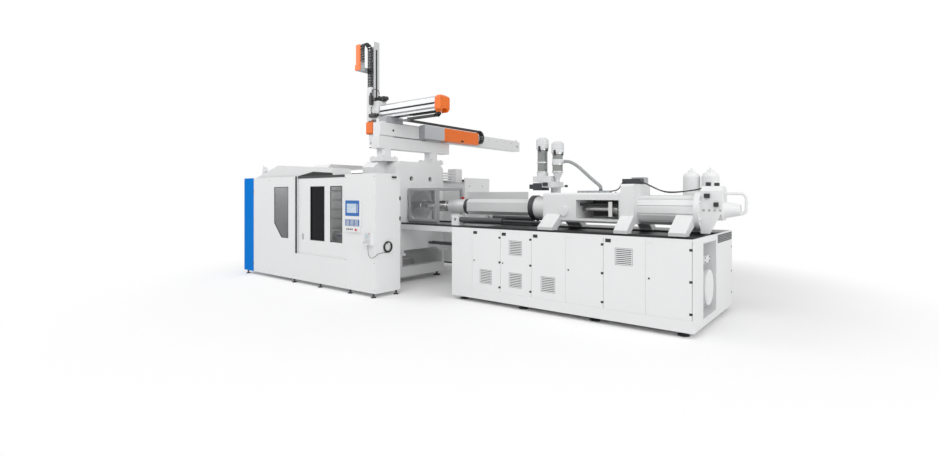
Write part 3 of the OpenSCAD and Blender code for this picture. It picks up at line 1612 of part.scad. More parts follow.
module barrel() placed() color("silver") difference() {
    union() {
        bar_x(barrel_d, [barrel_x0, feed_x0 + barrel_in], 0, axis_z);
        for (i = [0:heater_count - 1])
            bar_x(barrel_d + 2 * heater_t,
                [barrel_x0 + heater_in + i * heater_pitch,
                    barrel_x0 + heater_in + i * heater_pitch + heater_w], 0, axis_z);
        translate([barrel_x0, 0, axis_z]) rotate([0, -quarter, 0]) rotate_extrude()
            polygon([[0, -cut], [barrel_d / 2, -cut], [barrel_d / 2, 0],
                [nozzle_neck_d / 2, nozzle_cone_len],
                [nozzle_neck_d / 2, barrel_x0 - nozzle_tip_x - nozzle_tip_d],
                    [nozzle_tip_d / 2, barrel_x0 - nozzle_tip_x],
                [0, barrel_x0 - nozzle_tip_x]]);
    }
    bar_x(screw_d + 2 * fit_gap, [barrel_x0 + barrel_nose, feed_x0 + barrel_in + cut], 0, axis_z);
    bar_x(melt_d, past(nozzle_tip_x, barrel_x0 + barrel_nose), 0, axis_z);
    bar_z(throat_d, throat_x, 0, [axis_z, axis_z + barrel_d]);
}

// Screw with a turned lobe for its flight, and a plain shank up to the coupling
module screw() placed() color("silver") translate([screw_x0, 0, axis_z]) rotate([0, quarter, 0]) {
    flight = feed_x0 + barrel_in - screw_back - screw_x0;
    linear_extrude(flight, twist = -4 * quarter * screw_turns, slices = screw_turns * screw_steps)
        translate([screw_lobe, 0]) circle(screw_d / 2 - screw_lobe - run_gap, $fn = screw_sides);
    translate([0, 0, flight])
        cylinder(d = shank_d, h = coupling_x0 + coupling_bore - run_gap - screw_x0 - flight);
}

// Octagonal cover over the heater bands, and the round one in front of it
module barrel_guard() placed() color("gainsboro") {
    w = cover_w / 2;
    difference() {
        plate_yz(cut_corners(about(0, 2 * w), [axis_z - w, axis_z + w], cover_chamfer),
            [cover_x0, cover_x1]);
        plate_yz(cut_corners([guard_wall - w, w - guard_wall],
            [axis_z - w + guard_wall, axis_z + w - guard_wall],
            cover_chamfer - guard_wall / 2), past(cover_x0, cover_x1));
    }
    x = cover_x0 - guard_ring_len;
    difference() {
        bar_x(guard_small_d, [x - guard_small_len, x], 0, axis_z);
        bar_x(guard_small_d - 2 * guard_wall, past(x - guard_small_len, x), 0, axis_z);
    }
}

// A turned ring along X
module ring_x(outer, inner, x) {
    difference() {
        bar_x(outer, x, 0, axis_z);
        bar_x(inner, [x[0] - cut, x[1] + cut], 0, axis_z);
    }
}

// Dark fittings that travel with the injection unit
module carriage_fittings() placed() color("dimgray") {
    ring_x(collar_d, barrel_d + 2 * run_gap, [cover_x1, cover_x1 + collar_len]);
    ring_x(guard_ring_d, guard_small_d - 2 * guard_wall, [cover_x0 - guard_ring_len, cover_x0]);
    both_sides() {
        bar_x(carriage_rod_d, [carriage_tube_x0 + carriage_tube_len - carriage_in,
            feed_x0 + feed_foot_in], rail_y, carriage_z);
        bar_x(guide_rod_d, [feed_x1, frame_x1 - frame_wall], guide_rod_y, axis_z + guide_rod_z);
        span([tray_x0, cover_x1 + collar_len], [tray_bar_y - tray_bar, tray_bar_y],
            [tray_low_z, tray_low_z + tray_bar]);
        for (x = [tray_x0, cover_x1 + collar_len - tray_bar])
            span([x, x + tray_bar], [0, tray_bar_y], [tray_low_z, tray_low_z + tray_bar]);
    }
    x = cover_x1 + collar_len - tray_bar;
    span([x, x + tray_bar], about(0, 2 * tray_bar), [tray_low_z, axis_z - collar_d / 2 + tray_bar]);
    span([post_x1 - box_a_len, post_x1], about(0, box_a_w), [post_z1, post_z1 + box_a_h]);
    bar_z(hose_stub_d, hose_end_x, hose_end_y, [unit_z1, unit_z1 + hose_end_h]);
}

// Open frame between the feed housing and the rear post
module injection_frame() placed() color("white") difference() {
    union() {
        plate_yz(cut_corners(about(0, 2 * unit_y), [unit_z0, unit_z1], unit_chamfer), [feed_x1, frame_x1]);
        plate_yz(cut_corners(about(0, 2 * post_y), [unit_z0, post_z1], unit_chamfer), [frame_x1, post_x1]);
        unit_foot(post_y, foot_slope_z, [frame_x1, post_x1]);
    }
    span([feed_x1 + frame_wall, frame_x1 - frame_wall], [-unit_y - cut, unit_y - frame_wall],
        [unit_z0 + frame_floor, unit_z1 - frame_roof]);
    bar_x(coupling_d, past(feed_x1, feed_x1 + frame_wall), 0, axis_z);
    both_sides() bar_x(guide_rod_d + 2 * fit_gap, past(feed_x1, feed_x1 + frame_wall), guide_rod_y,
        axis_z + guide_rod_z);
    bar_x(piston_rod_d + 2 * fit_gap, past(frame_x1 - frame_wall, post_x1), 0, axis_z);
}

// Ribbed tube with a bolted flange and the foot under its end
module injection_cylinder() placed() color("white") difference() {
    union() {
        translate([post_x1, 0, axis_z]) rotate([quarter, 0, quarter]) linear_extrude(cylinder_len) {
            circle(d = cylinder_d);
            for (k = [0:cylinder_ribs - 1]) rotate(4 * quarter * k / cylinder_ribs)
                translate([0, -cylinder_rib_w / 2])
                    square([cylinder_d / 2 + cylinder_rib_h, cylinder_rib_w]);
        }
        bar_x(flange_d, [cylinder_x1, cylinder_x1 + flange_t], 0, axis_z);
        for (a = flange_bolt_turns) translate([0, 0, axis_z]) rotate([a, 0, 0])
            bar_x(flange_bolt_d, [cylinder_x1 + flange_t - cut, cylinder_x1 + flange_t + flange_bolt_h],
                flange_d / 2 - flange_bolt_in, 0);
        unit_foot(rear_foot_y, axis_z - foot_root, [cylinder_x1 - rear_foot_w, cylinder_x1]);
    }
    bar_x(piston_d + 2 * fit_gap, [post_x1 + flange_t, cylinder_x1], 0, axis_z);
    bar_x(piston_rod_d + 2 * fit_gap, past(post_x1, post_x1 + flange_t), 0, axis_z);
}

// Coupling on the screw's shank, its yoke on the guide rods, the rod and the piston
module piston_coupling() placed() color("silver") difference() {
    union() {
        bar_x(coupling_d, [coupling_x0, coupling_x0 + coupling_len], 0, axis_z);
        span([coupling_x0 + yoke_t, coupling_x0 + 2 * yoke_t],
            [-guide_rod_y - yoke_t, guide_rod_y + yoke_t], about(axis_z, yoke_h));
        bar_x(piston_rod_d, [coupling_x0, cylinder_x1 - piston_back], 0, axis_z);
        bar_x(piston_d, [cylinder_x1 - piston_back, cylinder_x1 - piston_back + piston_t], 0, axis_z);
    }
    bar_x(shank_d + 2 * fit_gap, [coupling_x0 - cut, coupling_x0 + coupling_bore], 0, axis_z);
    both_sides() bar_x(guide_rod_d + 2 * fit_gap, [coupling_x0, coupling_x0 + coupling_len], guide_rod_y,
        axis_z + guide_rod_z);
}

// Quarter bend of a pipe in X and Z, around a centre, from the given turn
module pipe_bend(x, y, z, r, d, turn) {
    translate([x, y, z]) rotate([quarter, 0, 0]) rotate([0, 0, turn]) rotate_extrude(angle = quarter)
        translate([r, 0]) circle(d = d);
}

module hydraulic_unit() placed() color("white") {
    x0 = cylinder_x1 + flange_t;
    x1 = x0 + manifold_len;
    plate_yz(cut_corners(about(0, manifold_w), [manifold_z0, manifold_z1], manifold_chamfer), [x0, x1]);
    plate_xz([[x0, base_h + drip_gap], [x0 + drip_len, base_h + drip_gap], [x1, manifold_z0 + drip_len],
        [x0, manifold_z0 + drip_len]], [-manifold_w / 2 - drip_t, -manifold_w / 2]);
    translate([x1 - cut, 0, motor_z]) rotate([0, quarter, 0])
        cylinder(d1 = motor_d0, d2 = motor_d1, h = motor_body_len);
    bend_x = reach_x1 - pipe_d / 2 - pipe_bend_r;
    bar_x(pipe_d, [x1 - cut, bend_x], 0, pipe_top_z);
    pipe_bend(bend_x, 0, pipe_top_z - pipe_bend_r, pipe_bend_r, pipe_d, 0);
    bar_z(pipe_d, bend_x + pipe_bend_r, 0, [pipe_low_z + pipe_bend_r, pipe_top_z - pipe_bend_r]);
    pipe_bend(bend_x, 0, pipe_low_z + pipe_bend_r, pipe_bend_r, pipe_d, -quarter);
    y = accu_y - accu_d / 2;
    span([accu_x - accu_d / 2, accu_x + accu_pitch + accu_d / 2], [y + cut, accu_y + accu_d / 2],
        [accu_z0 - accu_shelf_t, accu_z0]);
    span([x0 + accu_shelf_t, accu_x + accu_pitch + accu_d / 2], [manifold_w / 2 - cut, y + 2 * cut],
        [accu_z0 - accu_shelf_t, accu_z0]);
    for (i = [0, 1]) translate([accu_x + i * accu_pitch, accu_y, accu_z0]) rotate_extrude() {
        h = accu_z1 - accu_z0;
        r = accu_d / 2;
        polygon([[0, -cut], [r, -cut], [r, h - r * dome_share],
            [r * dome_mid_share, h - r * dome_rise_share],
            [accu_neck_d / 2, h], [accu_neck_d / 2, h + accu_neck_h], [accu_valve_d / 2, h + accu_neck_h],
            [accu_valve_d / 2, h + accu_neck_h + accu_valve_h], [0, h + accu_neck_h + accu_valve_h]]);
    }
}

// Domed lid of a loader
module loader_lid(x, z) {
    translate([x, loader_y, z]) rotate_extrude()
        polygon([[0, 0], [lid_d / 2, 0], [lid_d / 2, lid_h], [lid_d * lid_crown_share, lid_h + lid_dome],
            [0, lid_h + lid_dome]]);
}

module loaders() placed() color("whitesmoke") {
    x2 = loader_x + loader_pitch;
    loader_lid(loader_x, tube_z1);
    loader_lid(x2, tube_z1 - second_drop);
    bar_z(ring_d, loader_x, loader_y, [box_z1 - cut, tube_z0]);
    span([loader_x - loader_box_w / 2, loader_box_x1], about(loader_y, loader_box_w), [box_z0, box_z1]);
    translate([x2, loader_y, cone_z0]) cylinder(d1 = cone_d, d2 = loader_d, h = tube_z0 - cone_z0);
    bar_z(cone_d, x2, loader_y, past(box_z0, cone_z0));
    difference() {
        union() {
            span([plate_x0, plate_x0 + plate_len], about(loader_y, plate_w), [plate_z0, box_z0]);
            bar_z(feed_spacer_d, throat_x, 0, [unit_z1, plate_z0 + cut]);
        }
        bar_z(throat_d, throat_x, 0, [unit_z1 - cut, box_z0 - 2 * cut]);
    }
    bar_x(gate_handle_d, [plate_x0 + plate_len - cut, plate_x0 + plate_len + gate_handle_len], loader_y,
        plate_z0 + gate_handle_d);
    difference() {
        union() {
            bar_z(loader_d + 2 * cut, x2, loader_y,
                [hose_exit_z - hose_stub_len, hose_exit_z + hose_stub_len]);
            bar_x(hose_stub_d, [x2, x2 + loader_d / 2 + hose_stub_len], loader_y, hose_exit_z);
        }
        bar_z(loader_d, x2, loader_y, [hose_exit_z - 2 * hose_stub_len, hose_exit_z + 2 * hose_stub_len]);
    }
}

// Sight tube of a loader
module sight_tube(x, z) {
    difference() {
        bar_z(loader_d, x, loader_y, z);
        bar_z(loader_d - 2 * loader_wall, x, loader_y, [z[0] - cut, z[1] + cut]);
    }
}

module loader_glass() placed() color("lightslategray", 0.4) {
    sight_tube(loader_x, [tube_z0, tube_z1]);
    sight_tube(loader_x + loader_pitch, [tube_z0, tube_z1 - second_drop]);
}

module material_hose() placed() color("dimgray") tube_along(material_hose_route, hose_d, hose_sides);

// Switchgear and pumps behind the doors, the pipe in the end recess and the supply pipes to the clamp
module pump_set() placed() color("slategray") {
    back = -base_y + cabinet_depth;
    for (k = [4, 5]) {
        x = edge(k + 1) + gear_in;
        w = door_w - 2 * gear_in;
        span([x, x + w], [back - gear_t, back], [gear_z0, gear_z0 + gear_rows * gear_pitch]);
        for (i = [0:gear_rows - 1], j = [0:gear_columns - 1])
            span([x + (j + gear_side_share) * w / gear_columns,
                x + (j + 1 - gear_side_share) * w / gear_columns],
                [back - gear_t - gear_depth * (j % 2 + 1), back - gear_t + cut],
                    [gear_z0 + (i + gear_side_share) * gear_pitch,
                        gear_z0 + (i + 1 - gear_side_share) * gear_pitch]);
    }
    for (k = [0, 2]) {
        x = edge(k) - door_w / 2;
        y = back - pump_motor_d / 2;
        z = door_z0 + divider_w;
        span(about(x, pump_motor_d), [y - pump_motor_d / 2, back], [z, z + gear_depth]);
        bar_z(pump_motor_d * pump_share, x, y, [z, z + pump_motor_len]);
        bar_z(pump_body_d, x, y, [z + pump_motor_len - cut, z + pump_motor_len + pump_body_d / 2]);
    }
    x = base_x1 - recess_depth;
    bar_z(recess_pipe_d, x + recess_pipe_r, recess_pipe_y,
        [recess_z0 + 2 * recess_pipe_r, recess_z1 - 2 * recess_pipe_r]);
    pipe_bend(x, recess_pipe_y, recess_z1 - 2 * recess_pipe_r, recess_pipe_r, recess_pipe_d, 0);
    pipe_bend(x, recess_pipe_y, recess_z0 + 2 * recess_pipe_r, recess_pipe_r, recess_pipe_d, -quarter);
    for (i = [0, 1]) bar_x(supply_pipe_d, [fixed_x1, base_x0], supply_pipe_y + i * supply_pipe_pitch,
        supply_pipe_z);
}

clamp_bed();
levelling_feet();
guide_rails();
fixed_platen();
tie_bars();
moving_platen();
tie_bar_locks();
drive_cylinders();
ejector();
front_guard_left();
front_guard_sill();
control_column();
guard_pane();
front_gate();
gate_panes();
roof_cover();
end_panel();
rear_guard();
rear_guard_end();
rear_gate();
control_panel();
emergency_stop();
pendant_holder();
pendant();
pendant_cable();
pendant_cable_coil();
nozzle_guard();
nozzle_guard_door();
nozzle_guard_pane();
robot_frame();
chain_cover();
traverse_chain();
traverse_carriage();
kick_beam();
kick_end_cap();
kick_chain();
arm_carriage();
servo_motors();
robot_arm();
arm_chain();
arm_covers();
wrist();
injection_base();
cabinet_door_1();
cabinet_door_2();
cabinet_door_3();
cabinet_door_4();
feed_housing();
barrel();
screw();
barrel_guard();
carriage_fittings();
injection_frame();
injection_cylinder();
piston_coupling();
hydraulic_unit();
loaders();
loader_glass();
material_hose();
pump_set();
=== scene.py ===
import math

import bmesh
import bpy
from bpy.props import FloatProperty, FloatVectorProperty, IntProperty, PointerProperty
from bpy.types import Operator, Panel, PropertyGroup
from mathutils import Matrix, Vector


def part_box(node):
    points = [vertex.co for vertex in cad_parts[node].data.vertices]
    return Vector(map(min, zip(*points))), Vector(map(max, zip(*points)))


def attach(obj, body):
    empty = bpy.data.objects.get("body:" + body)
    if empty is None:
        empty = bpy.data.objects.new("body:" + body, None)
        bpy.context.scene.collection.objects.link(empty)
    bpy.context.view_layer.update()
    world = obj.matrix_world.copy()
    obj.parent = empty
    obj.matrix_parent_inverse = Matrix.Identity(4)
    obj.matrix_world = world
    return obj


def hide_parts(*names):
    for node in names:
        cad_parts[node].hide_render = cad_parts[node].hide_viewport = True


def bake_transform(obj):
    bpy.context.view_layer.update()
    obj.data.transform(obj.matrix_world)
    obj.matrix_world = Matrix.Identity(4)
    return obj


bl_info = {
    "name": "Injection moulding machine",
    "version": (1, 0, 0),
    "blender": (4, 5, 0),
    "location": "View3D > Sidebar > Moulding",
    "description": "Finishes and details of a two-platen moulding machine with its take-out robot",
    "category": "Object",
}

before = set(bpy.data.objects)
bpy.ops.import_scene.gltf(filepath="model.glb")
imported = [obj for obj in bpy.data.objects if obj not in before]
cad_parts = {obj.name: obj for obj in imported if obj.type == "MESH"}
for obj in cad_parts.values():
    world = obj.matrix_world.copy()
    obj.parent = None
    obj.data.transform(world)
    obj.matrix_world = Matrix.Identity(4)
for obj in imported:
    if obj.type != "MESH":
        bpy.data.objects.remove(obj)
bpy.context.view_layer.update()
# The machine's own zero: the guard's front end, the barrel's axis and the floor
ZERO = Vector((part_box("control_column")[1].x, (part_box("barrel")[0].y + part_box("barrel")[1].y) / 2, 0))
AXIS_Z = (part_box("barrel")[0].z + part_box("barrel")[1].z) / 2
FINISHES = {}
# The record's slot that each finish of a new piece belongs to
SLOTS = {
    "white paint": "white_paint", "robot grey": "grey_paint", "dark paint": "black_metal", "dark cast": "dark_steel",
    "dark steel": "dark_steel", "bright steel": "bright_steel", "zinc": "bright_steel",
    "black metal": "black_metal", "chain black": "black_plastic", "black plastic": "black_plastic", "rubber": "cable",
    "white plastic": "white_plastic", "grey plastic": "white_plastic", "key white": "white_plastic",
    "red plastic": "red_plastic", "hose grey": "hose", "cable black": "cable", "slot shade": "black_metal",
    "panel display": "pane", "hand display": "pane",
}
# Ways that heads and screws face
FRONT, BACK, RIGHT, UP = (0, -1, 0), (0, 1, 0), (1, 0, 0), (0, 0, 1)
# Heads of cover screws and of hexagon bolts
SCREW_HEIGHT, SCREW_SIDES = 0.004, 10
BOLT_HEIGHT, HEXAGON = 0.014, 6
# Noise scales: clouds of tone, patches of gloss, the skin of paint and the pebble of plastic
CLOUD_SCALE, PATCH_SCALE, SKIN_SCALE, PEBBLE_SCALE = 1.7, 9.0, 420.0, 300.0
SKIN_DEPTH = 0.0006
# Darkening of paint towards the floor: its height, its fading upwards and its share
LOW_DARKENING_TOP, LOW_DARKENING_FADE, LOW_DARKENING_SHARE = 0.62, 1.6, 0.35
DISPLAY_GLOW = 0.8
# Edges sharper than this stay sharp on a smooth piece
SHARP_ANGLE = math.radians(35)


def spot(x, y, z):
    """A place given from the machine's own zero, in the row frame."""
    return ZERO + Vector((x, y, z))


def low(node):
    """Lowest corner of a CAD node, from the machine's own zero."""
    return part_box(node)[0] - ZERO


def high(node):
    """Highest corner of a CAD node, from the machine's own zero."""
    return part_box(node)[1] - ZERO


def need(*nodes):
    """Stops a step whose CAD nodes aren't in the frame."""
    missing = [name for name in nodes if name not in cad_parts]
    if missing:
        raise RuntimeError("the frame has no node " + ", ".join(missing))


class Wire:
    """One output of a node tree that can be written in sums."""

    def __init__(self, tree, socket):
        self.tree = tree
        self.socket = socket

    def sum(self, operation, first, second):
        node = self.tree.node("ShaderNodeMath", {"operation": operation}, {0: first, 1: second})
        return Wire(self.tree, node.outputs[0])

    def __add__(self, other):
        return self.sum("ADD", self, other)

    def __radd__(self, other):
        return self.sum("ADD", other, self)

    def __sub__(self, other):
        return self.sum("SUBTRACT", self, other)

    def __rsub__(self, other):
        return self.sum("SUBTRACT", other, self)

    def __mul__(self, other):
        return self.sum("MULTIPLY", self, other)

    def __rmul__(self, other):
        return self.sum("MULTIPLY", other, self)

    def __gt__(self, other):
        return self.sum("GREATER_THAN", self, other)

    def __lt__(self, other):
        return self.sum("LESS_THAN", self, other)

    def most(self, other):
        return self.sum("MAXIMUM", self, other)

    def inside(self, first, last):
        return (self > first) * (self < last)


class Tree:
    """A node tree that is filled by one method."""

    def __init__(self, nodes, links):
        self.nodes = nodes
        self.links = links

    def node(self, kind, settings=None, sockets=None):
        made = self.nodes.new(kind)
        for name, value in (settings or {}).items():
            setattr(made, name, value)
        for name, value in (sockets or {}).items():
            if isinstance(value, Wire):
                self.links.new(value.socket, made.inputs[name])
            elif isinstance(value, bpy.types.NodeSocket):
                self.links.new(value, made.inputs[name])
            else:
                made.inputs[name].default_value = value
        return made

    def out(self, kind, output, settings=None, sockets=None):
        return Wire(self, self.node(kind, settings, sockets).outputs[output])

    def backdrop_rays(self):
        """One for a ray that meets the backdrop from the camera, a gloss or a glass."""
        ray = self.node("ShaderNodeLightPath")
        kinds = ("Is Camera Ray", "Is Glossy Ray", "Is Transmission Ray")
        seen, gloss, glass = (Wire(self, ray.outputs[kind]) for kind in kinds)
        return seen.most(gloss).most(glass)


class Finish(Tree):
    """A material with one shader, fed from the piece's own coordinates."""

    def __init__(self, name):
        self.material = bpy.data.materials.new(name)
        self.material.use_nodes = True
        tree = self.material.node_tree
        tree.nodes.clear()
        super().__init__(tree.nodes, tree.links)
        self.shader = self.node("ShaderNodeBsdfPrincipled")
        self.node("ShaderNodeOutputMaterial", None, {"Surface": self.shader.outputs[0]})
        self.place = self.out("ShaderNodeTexCoord", "Object")
        parts = self.node("ShaderNodeSeparateXYZ", None, {0: self.place})
        self.x, self.y, self.z = (Wire(self, s) for s in parts.outputs)
        FINISHES[name] = self.material

    def feed(self, name, value):
        if isinstance(value, Wire):
            self.links.new(value.socket, self.shader.inputs[name])
        else:
            self.shader.inputs[name].default_value = value

    def grain(self, scale, stretch=(1, 1, 1), detail=2.0):
        spread = self.node("ShaderNodeMapping", None, {"Vector": self.place, "Scale": stretch})
        return self.out("ShaderNodeTexNoise", "Fac", None,
                        {"Vector": spread.outputs[0], "Scale": scale, "Detail": detail})

    def mix(self, factor, first, second):
        return self.out("ShaderNodeMix", 2, {"data_type": "RGBA"}, {0: factor, 6: first, 7: second})

    def bump(self, height, strength, distance):
        return self.out("ShaderNodeBump", 0, None, {"Height": height, "Strength": strength, "Distance": distance})

    def patches(self, scale, spread, least):
        """Roughness that varies in patches."""
        self.feed("Roughness", self.grain(scale) * spread + least)

    def skin(self, scale, strength):
        """Fine unevenness of the surface."""
        self.feed("Normal", self.bump(self.grain(scale), strength, SKIN_DEPTH))


def rgba(colour):
    return (*colour, 1.0)


def shaded(colour, share):
    return tuple(c * share for c in colour[:3]) + (1.0,)


def paint(name, colour, rough=0.4, peel=0.04, metallic=0.0):
    """Sprayed paint: a faint cloud of tone, darker towards the floor, and a fine skin."""
    f = Finish(name)
    cloud = f.grain(CLOUD_SCALE)
    # The paint gets darker towards the floor and fades out upwards
    low_darkening = (1 - f.z * LOW_DARKENING_FADE) * (f.z < LOW_DARKENING_TOP) * LOW_DARKENING_SHARE
    f.feed("Base Color", f.mix(cloud * 0.5 + low_darkening * 0.5, rgba(colour), shaded(colour, 0.93)))
    f.patches(PATCH_SCALE, 0.12, rough - 0.06)
    f.feed("Metallic", metallic)
    f.skin(SKIN_SCALE, peel)
    return f


def metal(name, colour, rough, stretch, scale=90.0):
    """Machined metal with marks drawn out along one axis."""
    f = Finish(name)
    marks = f.grain(scale, stretch, 4.0)
    f.feed("Base Color", f.mix(marks, shaded(colour, 0.86), rgba(colour)))
    f.feed("Roughness", marks * 0.22 + (rough - 0.1))
    f.feed("Metallic", 1.0)
    f.feed("Normal", f.bump(marks, strength=0.08, distance=0.0004))


def moulded(name, colour, rough=0.5, grain=0.1):
    """Moulded plastic or rubber with a fine pebble."""
    f = Finish(name)
    pebble = f.grain(PEBBLE_SCALE)
    f.feed("Base Color", f.mix(f.grain(6.0), shaded(colour, 0.9), rgba(colour)))
    f.feed("Roughness", pebble * 0.15 + (rough - 0.07))
    f.feed("Normal", f.bump(pebble, grain, SKIN_DEPTH))


def pane(name, colour, alpha, rough=0.05):
    """Tinted sheet that lets the inside show through."""
    f = Finish(name)
    f.feed("Base Color", f.mix(f.grain(1.3), rgba(colour), shaded(colour, 0.8)))
    f.patches(4.0, 0.05, rough)
    f.feed("Alpha", f.grain(0.8) * 0.08 + (alpha - 0.04))
    f.feed("Coat Weight", 0.4)
    f.material.surface_render_method = "BLENDED"


def display(name, glass, field, joint, tones):
    """Lit display: rows of coloured fields with joints between them, no writing."""
    f = Finish(name)
    flat = f.out("ShaderNodeCombineXYZ", 0, None, {0: f.x, 1: f.z, 2: 0.0})
    first, second, between = tones
    rows = f.out("ShaderNodeTexBrick", "Color", {"offset": 0.0}, {
        "Vector": flat, "Color1": first, "Color2": second, "Mortar": between, "Scale": 1.0,
        "Brick Width": field[0], "Row Height": field[1], "Mortar Size": joint})
    f.feed("Base Color", glass)
    f.feed("Emission Color", rows)
    f.feed("Emission Strength", DISPLAY_GLOW)
    return f


def mesh_object(name, mesh, finish):
    piece = bpy.data.objects.new(name, mesh)
    bpy.context.scene.collection.objects.link(piece)
    mesh.materials.clear()
    mesh.materials.append(FINISHES[finish])
    finish in SLOTS
    return piece


def built(name, work, finish, body, smooth=False):
    """Turns a bmesh into a piece that rides on a CAD body."""
    bmesh.ops.recalc_face_normals(work, faces=work.faces)
    mesh = bpy.data.meshes.new(name)
    work.to_mesh(mesh)
    work.free()
    if smooth:
        mesh.shade_smooth()
        mesh.set_sharp_from_angle(angle=SHARP_ANGLE)
    piece = mesh_object(name, mesh, finish)
    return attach(piece, body)


def add_box(work, first, last, bevel=0.0):
    """Adds a box between two corners given from the machine's own zero."""
    a = spot(*first)
    b = spot(*last)
    made = bmesh.ops.create_cube(work, size=1.0)
    size = Vector((abs(b.x - a.x), abs(b.y - a.y), abs(b.z - a.z)))
    place = Matrix.Translation((a + b) / 2) @ Matrix.Diagonal((*size, 1.0))
    bmesh.ops.transform(work, matrix=place, verts=made["verts"])
    if bevel > 0:
        edges = {e for v in made["verts"] for e in v.link_edges}
        bmesh.ops.bevel(work, geom=list(edges), offset=bevel, segments=2, affect="EDGES", profile=0.5)


def add_rod(work, start, end, radius, sides=20):
    """Adds a round bar between two places given from the machine's own zero."""
    a = spot(*start)
    b = spot(*end)
    turn = (b - a).to_track_quat("Z", "Y").to_matrix().to_4x4()
    bmesh.ops.create_cone(work, cap_ends=True, segments=sides, radius1=radius, radius2=radius, depth=(b - a).length,
                          matrix=Matrix.Translation((a + b) / 2) @ turn)


def add_rim(work, outline, width, y):
    """Adds a flat strip inside an outline of X and Z, between two stations of Y."""
    inner = []
    count = len(outline)
    sharpest = 0.2  # Keeps the strip's inside near a pointed corner
    for i, p in enumerate(outline):
        before = (Vector(p) - Vector(outline[i - 1])).normalized()
        after = (Vector(outline[(i + 1) % count]) - Vector(p)).normalized()
        left = Vector((-before.y, before.x))
        other = Vector((-after.y, after.x))
        corner = (left + other).normalized()
        inner.append(Vector(p) + corner * (width / max(sharpest, corner.dot(left))))
    rings = []
    for ring in (outline, inner):
        rings.append([[work.verts.new(spot(p[0], level, p[1])) for p in ring] for level in y])
    (of, ob), (nf, nb) = rings
    for i in range(count):
        j = (i + 1) % count
        for a, b in ((of, nf), (nf, nb), (nb, ob), (ob, of)):
            work.faces.new((a[i], a[j], b[j], b[i]))


def add_plate(work, outline, y):
    """Adds a plate with an outline of X and Z between two stations of Y."""
    front, back = ([work.verts.new(spot(p[0], level, p[1])) for p in outline] for level in y)
    work.faces.new(front)
    work.faces.new(list(reversed(back)))
    for i in range(len(outline)):
        work.faces.new((front[i - 1], front[i], back[i], back[i - 1]))


def oblong(x0, x1, z0, z1):
    """Outline of an upright rectangle in X and Z."""
    return [(x0, z0), (x1, z0), (x1, z1), (x0, z1)]


def spaced(start, pitch, count):
    """Stations at one pitch."""
    return [start + pitch * k for k in range(count)]


def grid(xs, ys, zs):
    """Every place where the given stations cross."""
    return [(x, y, z) for x in xs for y in ys for z in zs]


def stacked(x, y, half, levels):
    """Corners of boxes above each other, each with its middle at a level."""
    return [((x[0], y[0], z - half), (x[1], y[1], z + half)) for z in levels]


def rim_piece(name, finish, body, outlines, width, y):
    work = bmesh.new()
    for outline in outlines:
        add_rim(work, outline, width, y)
    return built(name, work, finish, body)


def plate_piece(name, finish, body, outline, y):
    work = bmesh.new()
    add_plate(work, outline, y)
    return built(name, work, finish, body)


def box_piece(name, finish, body, *boxes, bevel=0.002):
    work = bmesh.new()
    for first, last in boxes:
        add_box(work, first, last, bevel)
    return built(name, work, finish, body)


def rod_piece(name, finish, body, *rods):
    work = bmesh.new()
    for start, end, radius in rods:
        add_rod(work, start, end, radius)
    return built(name, work, finish, body, smooth=True)


def smooth_route(points, steps=8):
    """A line through the given places, rounded at each of them."""
    places = [Vector(p) for p in points]
    line = []
    for i in range(len(places) - 1):
        a = places[max(i - 1, 0)]
        b = places[i]
        c = places[i + 1]
        d = places[min(i + 2, len(places) - 1)]
        for k in range(steps):
            t = k / steps
            bent = (2 * a - 5 * b + 4 * c - d) * t ** 2 + (3 * b - a - 3 * c + d) * t ** 3
            line.append(0.5 * (2 * b + (c - a) * t + bent))
    return line + [places[-1]]


def run_length(line):
    return sum((b - a).length for a, b in zip(line, line[1:]))


def curve_piece(name, lines, radius, finish, sides=3):
    """Round lines of one thickness, given in the row frame, kept as a curve."""
    data = bpy.data.curves.new(name, "CURVE")
    data.dimensions = "3D"
    data.bevel_depth = radius
    data.bevel_resolution = sides
    data.use_fill_caps = True
    for line in lines:
        spline = data.splines.new("POLY")
        spline.points.add(len(line) - 1)
        for point, place in zip(spline.points, line):
            point.co = (*place, 1.0)
    data.materials.append(FINISHES[finish])
    piece = bpy.data.objects.new(name, data)
    bpy.context.scene.collection.objects.link(piece)
    return piece


def hose_piece(name, routes, radius, finish, body):
    """Fixed hoses and cables as one mesh."""
    lines = [smooth_route([spot(*p) for p in route]) for route in routes]
    piece = curve_piece(name, lines, radius, finish)
    bpy.context.view_layer.update()
    mesh = bpy.data.meshes.new_from_object(piece.evaluated_get(bpy.context.evaluated_depsgraph_get()))
    bpy.data.objects.remove(piece)
    mesh.shade_smooth()
    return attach(mesh_object(name, mesh, finish), body)


def node_group(name, sizes):
    """An empty tree of geometry nodes with named inputs for its sizes."""
    group = bpy.data.node_groups.new(name, "GeometryNodeTree")
    face = group.interface
    face.new_socket(name="Geometry", in_out="INPUT", socket_type="NodeSocketGeometry")
    for label, kind, value in sizes:
        socket = face.new_socket(name=label, in_out="INPUT", socket_type=kind)
        if value is not None:
            socket.default_value = value
    face.new_socket(name="Geometry", in_out="OUTPUT", socket_type="NodeSocketGeometry")
    tree = Tree(group.nodes, group.links)
    start = tree.node("NodeGroupInput")
    return group, tree, {s.name: Wire(tree, s) for s in start.outputs if s.name}


def close_group(tree, instances, material):
    solid = tree.out("GeometryNodeRealizeInstances", 0, None, {0: instances})
    done = tree.out("GeometryNodeSetMaterial", 0, None, {"Geometry": solid, "Material": material})
    tree.node("NodeGroupOutput", None, {0: done})


